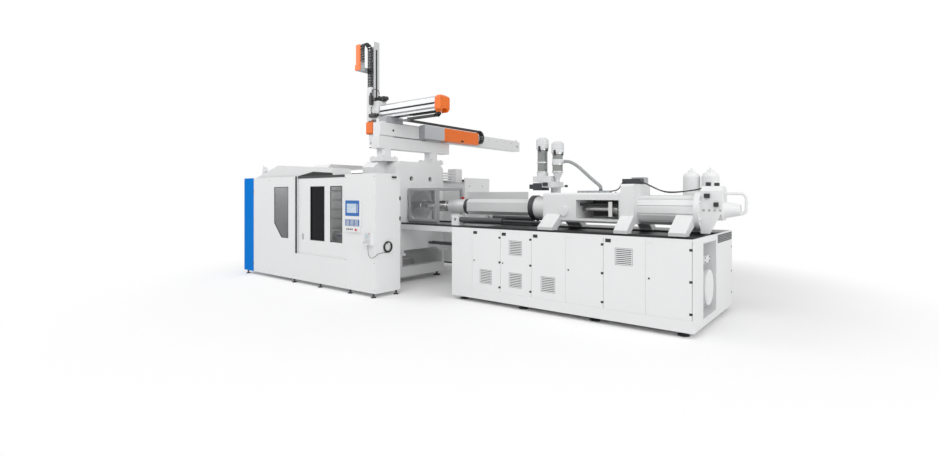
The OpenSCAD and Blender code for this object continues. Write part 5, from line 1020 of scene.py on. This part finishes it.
class MOULDING_OT_base_trim(Operator):
    """Fits hinges, latches, locks, slot rims and painted shade in the slots to the base's front, mats to its deck,
    covers to its rear and its end
    """
    bl_idname = "moulding.base_trim"
    bl_label = "Base trim"

    FIELD = 0.577  # Width of one field of the front
    END_STRIP = 0.013  # From the first field to the injection end
    # Body that each field rides on, from the injection end
    FIELDS = ("cabinet_door_4", "machine", "cabinet_door_3", "machine", "cabinet_door_2", "cabinet_door_1", "machine")
    LATCHED = (1, 3, 4, 5)
    # Lowest slot of each slotted patch in a field
    PATCHES = {1: (0.856,), 3: (0.352,), 4: (0.352, 0.856), 5: (0.352,)}
    SLOT_PITCH, SLOT_ROWS = 0.026, 8
    SLOT = (0.208, 0.002, 0.0125)
    RIM = 0.007  # Width of the rim round a patch
    HINGE_LEVELS = (0.307, 0.705, 1.1)
    # A hinge pin's place from the field's edge and face, and its sleeve's radius
    PIN_IN, PIN_BACK, SLEEVE = 0.02, 0.015, 0.0152
    CAP_IN = 0.04  # From the field's edge to a hinge plate's end
    LOCK_LEVEL = 0.7
    # Rear covers: count, pitch, and where the first one starts and ends
    COVERS, COVER_PITCH, COVER_START, COVER_END = 4, 0.93, 0.14, 0.99
    DRUM = (-0.257, 0.53)  # Middle of the round cover at the end, in Y and Z

    def execute(self, context):
        need("injection_base")
        a, b = low("injection_base"), high("injection_base")
        for number, body in enumerate(self.FIELDS):
            left = b.x - self.END_STRIP - self.FIELD * (number + 1)
            self.door_fittings(number, body, left, a.y, context.scene.machine_details.hinge_cap)
            self.slots(number, body, left, a.y)
        self.deck(a, b)
        self.rear(a, b)
        self.end(b)
        return {"FINISHED"}

    def door_fittings(self, number, body, left, front, cap):
        """Hinge sleeves and lock of a door, and the latch of a field that has one."""
        if body != "machine":
            edge = left + self.FIELD
            pin, depth = edge - self.PIN_IN, front + self.PIN_BACK
            work = bmesh.new()
            for z in self.HINGE_LEVELS:
                add_rod(work, (pin, depth, z - cap), (pin, depth, z + cap), self.SLEEVE)
                add_box(work, (edge - self.CAP_IN, front - 0.001, z - cap), (pin, front + 0.001, z + cap))
            built("hinge_caps_%d" % number, work, "black plastic", body)
        if number in self.LATCHED:
            box_piece("latch_%d" % number, "black plastic", body,
                      ((left + 0.026, front - 0.004, 1.136), (left + 0.104, front, 1.184)))
        if body != "machine":
            lock = left + 0.042
            rod_piece("lock_%d" % number, "black plastic", body,
                      ((lock, front - 0.003, self.LOCK_LEVEL), (lock, front + 0.004, self.LOCK_LEVEL), 0.0115))

    def slots(self, number, body, left, front):
        """Rims round a field's slotted patches, and dark slats in their slots as painted shade."""
        patches = self.PATCHES.get(number)
        if patches is None:
            return
        rims = [oblong(left + 0.162, left + 0.404, z - 0.018, z + 0.213) for z in patches]
        rim_piece("slot_rims_%d" % number, "hose grey", body, rims, self.RIM, (front - 0.001, front + 0.0005))
        levels = [level for z in patches for level in spaced(z + 0.0065, self.SLOT_PITCH, self.SLOT_ROWS)]
        # Dark slats in the slots are painted shade
        places = grid((left + 0.283,), (front + 0.0065,), levels)
        slats("slot_shades_%d" % number, places, self.SLOT, "slot shade", body)

    def deck(self, a, b):
        """Dark mats between the deck's rails, dark slats in the end grille's slots as painted shade, and screws at the
        end wall.
        """
        deck = b.z - 0.04
        strips = ((-1.05, -0.575), (-0.465, 0.465), (0.575, 1.05))
        box_piece("deck_mats", "dark paint", "machine",
                  *(((a.x + 0.01, y0, deck + 0.0005), (b.x - 0.03, y1, deck + 0.003)) for y0, y1 in strips), bevel=0.0)
        # Dark slats fill the end grille's slots as painted shade
        grille = grid((b.x - 0.0035,), (0.6,), spaced(b.z - 0.124, 0.024, 5))
        slats("end_grille_shade_slats", grille, (0.009, 0.91, 0.021), "dark cast", "machine")
        heads("end_wall_screws", grid((b.x + 0.0015,), (1.04,), (0.272, 0.605, 0.979)), 0.014, 0.004, RIGHT,
              "black plastic", "machine")

    def rear(self, a, b):
        """Plain covers on the rear, each with six screws."""
        starts = spaced(a.x + self.COVER_START, self.COVER_PITCH, self.COVERS)
        ends = spaced(a.x + self.COVER_END, self.COVER_PITCH, self.COVERS)
        box_piece("rear_covers", "white paint", "machine",
                  *(((x0, b.y + 0.0003, 0.26), (x1, b.y + 0.004, 1.12)) for x0, x1 in zip(starts, ends)), bevel=0.0015)
        sides = [x for x0, x1 in zip(starts, ends) for x in (x0 + 0.03, x1 - 0.03)]
        cover_screws("rear_cover_screws", grid(sides, (b.y + 0.005,), (0.29, 0.69, 1.09)), BACK, "machine")

    def end(self, b):
        """Round cover and small valve in the recess of the injection end."""
        y, z = self.DRUM
        rod_piece("end_drum_cover", "white paint", "machine", ((b.x - 0.06, y, z), (b.x - 0.016, y, z), 0.24),
                  ((b.x - 0.017, y, z), (b.x - 0.01, y, z), 0.205))
        box_piece("end_valve", "white plastic", "machine", ((b.x - 0.3, -0.5, 0.87), (b.x - 0.02, -0.2, 0.965)),
                  bevel=0.01)
        heads("end_valve_ports", grid((b.x - 0.019,), (-0.46, -0.24), (0.89, 0.945)), 0.013, 0.006, RIGHT,
              "black plastic", "machine")


class MOULDING_OT_unit_trim(Operator):
    """Adds bolts, hoses, sensors and cables to the injection unit and its loaders"""
    bl_idname = "moulding.unit_trim"
    bl_label = "Injection unit trim"

    COLLAR_BOLTS, COLLAR_X, COLLAR_CIRCLE = 12, 2.01, 0.19065
    TRAY_HOSE, POST_CABLE = 0.013, 0.009  # Radii
    TRAY_BLOCKS = (0.86, 1.1, 1.34, 1.62, 1.9)
    # Name, X, and the lower and upper end of each loader's sight tube
    LOADERS = (("first", 2.246, 2.157, 2.575), ("second", 2.539, 2.157, 2.493))
    LOADER_Y = -0.1

    def execute(self, context):
        need("feed_housing", "carriage_fittings", "injection_frame")
        self.bolts(context.scene.machine_details.bolt)
        self.tray()
        self.post()
        self.drives()
        for loader in self.LOADERS:
            self.loader(*loader)
        rod_piece("hopper_knob", "black plastic", "injection_unit", ((2.68, -0.1, 1.929), (2.72, -0.1, 1.929), 0.02))
        box_piece("feed_valve", "black plastic", "injection_unit", ((2.36, -0.3, 1.93), (2.44, -0.258, 1.99)),
                  bevel=0.004)
        rod_piece("safety_knob", "red plastic", "machine", ((0.064, 0.36, 1.72), (0.105, 0.36, 1.72), 0.024))
        return {"FINISHED"}

    def bolts(self, bolt):
        """Bolts of the frame and the collar, and a dark sheet behind the open frame as painted shade of its inside."""
        row = grid(spaced(2.995, 0.09, 8), (-0.27,), (high("feed_housing").z + 0.005,))
        heads("frame_bolts", row, bolt * 0.6, BOLT_HEIGHT, UP, "dark steel", "injection_unit", HEXAGON)
        # A dark sheet inside the open frame is painted shade
        box_piece("frame_back_shade_sheet", "slot shade", "injection_unit",
                  ((3.0, 0.29, AXIS_Z - 0.13), (3.42, 0.2945, AXIS_Z + 0.13)), bevel=0.0)
        turns = spaced(0.0, math.tau / self.COLLAR_BOLTS, self.COLLAR_BOLTS)
        circle = self.COLLAR_CIRCLE
        ring = [(self.COLLAR_X, circle * math.cos(t), AXIS_Z + circle * math.sin(t)) for t in turns]
        heads("collar_bolts", ring, bolt * 0.7, BOLT_HEIGHT, RIGHT, "bright steel", "injection_unit", HEXAGON)

    def tray(self):
        """Hoses in the carriage's tray and the blocks that hold them."""
        floor = low("carriage_fittings").z + 0.026
        z = floor + 0.014
        lines = [[(0.68, y, z), (1.2, y + 0.01, z), (1.7, y - 0.01, z), (2.08, y, z)] for y in spaced(-0.19, 0.035, 4)]
        hose_piece("tray_hoses", lines, self.TRAY_HOSE, "cable black", "injection_unit")
        box_piece("tray_blocks", "black plastic", "injection_unit",
                  *(((x, -0.236, floor), (x + 0.09, -0.205, floor + 0.05)) for x in self.TRAY_BLOCKS))

    def post(self):
        """Cables and a box on the rear post."""
        top = high("injection_frame").z
        hose_piece("post_cables", [
            [(3.7, -0.06, top + 0.05), (3.66, -0.1, top + 0.02), (3.6, -0.16, 1.86), (3.4, -0.2, 1.835),
             (3.0, -0.2, 1.835)],
            [(3.9, -0.05, top + 0.05), (4.0, -0.06, top + 0.01), (4.3, -0.06, 1.83), (4.7, -0.06, 1.85),
             (4.83, -0.06, 1.9)],
            [(3.9, 0.03, top + 0.04), (4.02, 0.03, top - 0.01), (4.3, 0.04, 1.82), (4.7, 0.04, 1.86),
             (4.83, 0.04, 1.91)],
        ], self.POST_CABLE, "cable black", "injection_unit")
        box_piece("post_grey_box", "grey plastic", "injection_unit", ((3.73, 0.09, top), (3.92, 0.3, top + 0.11)),
                  bevel=0.004)

    def drives(self):
        """Feed drive, cable duct, and the sensors and plugs of the manifold."""
        box_piece("feed_drive", "black metal", "injection_unit", ((2.13, -0.23, 1.86), (2.31, 0.02, 1.985)),
                  ((2.02, -0.17, 1.885), (2.13, -0.03, 1.965)), bevel=0.008)
        box_piece("frame_cable_duct", "grey plastic", "injection_unit", ((2.97, -0.235, 1.819), (3.52, -0.165, 1.85)))
        box_piece("manifold_sensors", "black plastic", "injection_unit",
                  ((4.85, -0.19, 1.74), (4.92, -0.15, 1.8)), ((4.97, -0.19, 1.62), (5.03, -0.15, 1.68)),
                  ((4.84, -0.05, 1.905), (4.9, 0.01, 1.96)), ((4.95, -0.05, 1.905), (5.01, 0.01, 1.95)), bevel=0.004)
        plugs = grid(spaced(4.84, 0.07, 4), (-0.151,), spaced(1.5, 0.07, 2))
        heads("manifold_plugs", plugs, 0.018, 0.01, FRONT, "zinc", "injection_unit", HEXAGON)

    def loader(self, name, x, base, end):
        """Rings, catches and motor band of one loader."""
        y = self.LOADER_Y
        levels = (base + 0.014, (base + end) / 2 - 0.03, end - 0.014)
        rod_piece("loader_rings_" + name, "bright steel", "injection_unit",
                  *(((x, y, z - 0.012), (x, y, z + 0.012), 0.097) for z in levels))
        box_piece("loader_catches_" + name, "black plastic", "injection_unit",
                  ((x - 0.02, -0.212, end - 0.05), (x + 0.02, -0.197, end + 0.04)),
                  ((x + 0.085, -0.12, end - 0.05), (x + 0.1, -0.08, end + 0.04)), bevel=0.003)
        rod_piece("loader_motor_band_" + name, "grey plastic", "injection_unit",
                  ((x, y, end + 0.055), (x, y, end + 0.068), 0.1065))


class MOULDING_OT_robot_trim(Operator):
    """Adds belts, painted shade in the platen's vents, bolts, eyes, screws and motor cables to the take-out robot and
    its platen
    """
    bl_idname = "moulding.robot_trim"
    bl_label = "Robot trim"

    BELT_DOWN = 0.145  # From the kick beam's top to its belts
    BELT_LOW, BELT_HIGH, BELT_PROUD = 0.014, 0.022, 0.0015
    CONSOLE_X, CONSOLE_Y = -1.15, 0.7  # Middle of a console's foot
    FOOT_X, FOOT_Y = 0.165, 0.15  # From there to its bolts
    BEAM_FACE = -1.039  # The traverse beam's face towards the injection unit
    MOTOR_CABLE = 0.008  # Radius
    CABLE_ROUTES = [
        [(-1.523, -0.5, 3.925), (-1.525, -0.51, 3.985), (-1.55, -0.56, 4.03), (-1.596, -0.61, 4.02),
         (-1.611, -0.62, 3.96), (-1.6115, -0.62, 3.9)],
        [(-1.565, -0.68, 3.51), (-1.567, -0.685, 3.56), (-1.58, -0.675, 3.61), (-1.6, -0.645, 3.65)],
    ]

    def execute(self, context):
        need("kick_beam", "robot_arm", "fixed_platen", "robot_frame", "chain_cover", "kick_end_cap")
        sizes = context.scene.machine_details
        self.belts()
        platen = high("fixed_platen")
        # Black discs inside the platen's vents are painted shade of the holes
        vents = grid((platen.x - 0.07,), (-0.28, 0.28), (AXIS_Z + 0.56,))
        heads("platen_vent_shades", vents, 0.052, 0.004, RIGHT, "black plastic", "machine", 28)
        feet_x = [self.CONSOLE_X + s * self.FOOT_X for s in (-1, 1)]
        feet_y = [s * self.CONSOLE_Y + t * self.FOOT_Y for s in (-1, 1) for t in (-1, 1)]
        feet = grid(feet_x, feet_y, (platen.z + 0.094,))
        heads("console_bolts", feet, sizes.bolt, 0.016, UP, "dark steel", "machine", HEXAGON)
        self.beam(sizes)
        cover_screws("cap_screws", grid((high("kick_end_cap").x + 0.0005,), (-0.6, -0.4), (3.45, 3.6)), RIGHT, "kick")
        hose_piece("arm_motor_cables", self.CABLE_ROUTES, self.MOTOR_CABLE, "cable black", "kick")
        return {"FINISHED"}

    def belts(self):
        """Toothed belts along both sides of the kick beam and on the arm."""
        a, b = low("kick_beam"), high("kick_beam")
        belt = b.z - self.BELT_DOWN
        sides = ((a.y - self.BELT_PROUD, a.y + 0.006), (b.y - 0.006, b.y + self.BELT_PROUD))
        z0, z1 = belt - self.BELT_LOW, belt + self.BELT_HIGH
        box_piece("kick_belts", "rubber", "kick", *(((a.x + 0.02, y0, z0), (b.x - 0.02, y1, z1)) for y0, y1 in sides),
                  bevel=0.0)
        top = high("robot_arm").z
        box_piece("arm_belt", "rubber", "arm", ((-1.617, -0.516, top - 1.18), (-1.6115, -0.484, top - 0.17)),
                  bevel=0.0)

    def beam(self, sizes):
        """Eyes, plugs and tray end of the traverse beam, and the grip of its chain cover."""
        face, cover = self.BEAM_FACE, high("chain_cover").x
        eyes = [(face, -0.54, 3.114), (face, high("robot_frame").y - 0.12, 3.13)]
        heads("beam_eyes", eyes, 0.024, 0.004, RIGHT, "black plastic", "machine", 20)
        plugs = grid((face,), spaced(2.4, 0.35, 5), (3.2,))
        heads("beam_plugs", plugs, sizes.screw * 1.3, 0.004, RIGHT, "dark steel", "machine")
        box_piece("tray_end", "robot grey", "machine", ((face + 0.004, 0.214, 3.015), (cover, 0.2195, 3.285)))
        grip = grid((cover + 0.001,), spaced(1.46, 0.03, 3), (3.046,))
        heads("cover_grip", grip, 0.022, 0.006, RIGHT, "black plastic", "machine", 20)


class MOULDING_OT_stage(Operator):
    """Sets the camera, the floor and the studio light"""
    bl_idname = "moulding.stage"
    bl_label = "Stage"

    # The photo's camera
    EYE = (6.63, -7.535, 1.78)
    TURN = 38.9  # Degrees about the upright
    SENSOR, LENS, SHIFT = 36.0, 19.016, -0.0351
    SIGHT = 200.0
    FLOOR_HALF, FLOOR_DOWN = 60.0, 0.001
    FADE_START, FADE_END = 4.5, 8.0  # Where the floor goes over into the backdrop
    AIM = Vector((0, 0, 1.6))
    # Name, place, size and share of the lamp strength
    LAMPS = (
        ("lamp over the operator side", (4.0, -9.0, 9.0), 8.0, 1.5),
        ("lamp over the clamp", (-7.0, -6.0, 8.0), 7.0, 1.15),
        ("lamp at the injection end", (14.0, -4.0, 8.0), 9.0, 2.2),
    )

    def execute(self, context):
        scene = context.scene
        sizes = scene.machine_details
        made = [self.camera(scene), self.floor()]
        for row in self.LAMPS:
            made.append(self.lamp(scene, sizes.light, *row))
        self.sky(scene, sizes.sky)
        scene.view_settings.view_transform = "Standard"
        return {"FINISHED"}

    def camera(self, scene):
        view = bpy.data.cameras.new("photo camera")
        view.sensor_width = self.SENSOR
        view.lens = self.LENS
        view.shift_y = self.SHIFT
        view.clip_end = self.SIGHT
        camera = bpy.data.objects.new("photo camera", view)
        camera.location = spot(*self.EYE)
        camera.rotation_euler = (math.radians(90), 0, math.radians(self.TURN))
        scene.collection.objects.link(camera)
        scene.camera = camera
        return camera

    def floor(self):
        """A pale floor that goes over into the white backdrop."""
        f = Finish("studio floor")
        f.feed("Base Color", f.mix(f.grain(0.4), (0.95, 0.95, 0.95, 1), (0.93, 0.93, 0.93, 1)))
        f.feed("Roughness", 0.9)
        reach = f.out("ShaderNodeVectorMath", "Value", {"operation": "LENGTH"}, {0: f.place})
        far = f.out("ShaderNodeMapRange", 0, {"interpolation_type": "SMOOTHSTEP"},
                    {0: reach, 1: self.FADE_START, 2: self.FADE_END})
        white = f.node("ShaderNodeEmission", None, {"Color": (1, 1, 1, 1)})
        blend = f.node("ShaderNodeMixShader", None,
                       {0: far * f.backdrop_rays(), 1: f.shader.outputs[0], 2: white.outputs[0]})
        f.node("ShaderNodeOutputMaterial", {"is_active_output": True}, {"Surface": blend.outputs[0]})
        work = bmesh.new()
        bmesh.ops.create_grid(work, x_segments=1, y_segments=1, size=self.FLOOR_HALF)
        mesh = bpy.data.meshes.new("floor")
        work.to_mesh(mesh)
        work.free()
        floor = mesh_object("floor", mesh, "studio floor")
        floor.location.z = -self.FLOOR_DOWN
        return floor

    def lamp(self, scene, strength, name, place, size, share):
        data = bpy.data.lights.new(name, "AREA")
        data.size = size
        data.energy = strength * share
        lamp = bpy.data.objects.new(name, data)
        lamp.location = place
        lamp.rotation_euler = (self.AIM - Vector(place)).to_track_quat("-Z", "Y").to_euler()
        scene.collection.objects.link(lamp)
        return lamp

    def sky(self, scene, strength):
        """White where the backdrop shows, weaker as a light."""
        world = bpy.data.worlds.new("studio")
        world.use_nodes = True
        tree = Tree(world.node_tree.nodes, world.node_tree.links)
        tree.nodes.clear()
        glow = tree.backdrop_rays() * (1 - strength) + strength
        sky = tree.node("ShaderNodeBackground", None, {"Color": (1, 1, 1, 1), "Strength": glow})
        tree.node("ShaderNodeOutputWorld", None, {"Surface": sky.outputs[0]})
        scene.world = world


class MOULDING_PT_panel(Panel):
    """Sizes and colours of the machine, and the steps that make its details"""
    bl_idname = "MOULDING_PT_panel"
    bl_label = "Moulding machine"
    bl_space_type = "VIEW_3D"
    bl_region_type = "UI"
    bl_category = "Moulding"

    def draw(self, context):
        for place in GROUP_PLACES:
            group = getattr(context.scene, place)
            box = self.layout.box()
            for name in group.__annotations__:
                box.prop(group, name)
        for step in STEPS:
            self.layout.operator(step.bl_idname)


STEPS = [MOULDING_OT_finishes, MOULDING_OT_cords, MOULDING_OT_chains, MOULDING_OT_guard_trim,
         MOULDING_OT_control_panel, MOULDING_OT_base_trim, MOULDING_OT_unit_trim, MOULDING_OT_robot_trim,
         MOULDING_OT_stage]
GROUP_PLACES = {"machine_paints": MachinePaints, "machine_cords": CordSizes, "machine_chains": ChainSizes,
                "machine_details": DetailSizes}


def register():
    for group in (*GROUP_PLACES.values(), *STEPS, MOULDING_PT_panel):
        bpy.utils.register_class(group)
    for name, group in GROUP_PLACES.items():
        setattr(bpy.types.Scene, name, PointerProperty(type=group))


def unregister():
    for name in GROUP_PLACES:
        delattr(bpy.types.Scene, name)
    for group in (*GROUP_PLACES.values(), *STEPS, MOULDING_PT_panel):
        bpy.utils.unregister_class(group)


def main():
    register()
    for step in STEPS:
        area, name = step.bl_idname.split(".")
        getattr(getattr(bpy.ops, area), name)()


if __name__ == "__main__":
    main()
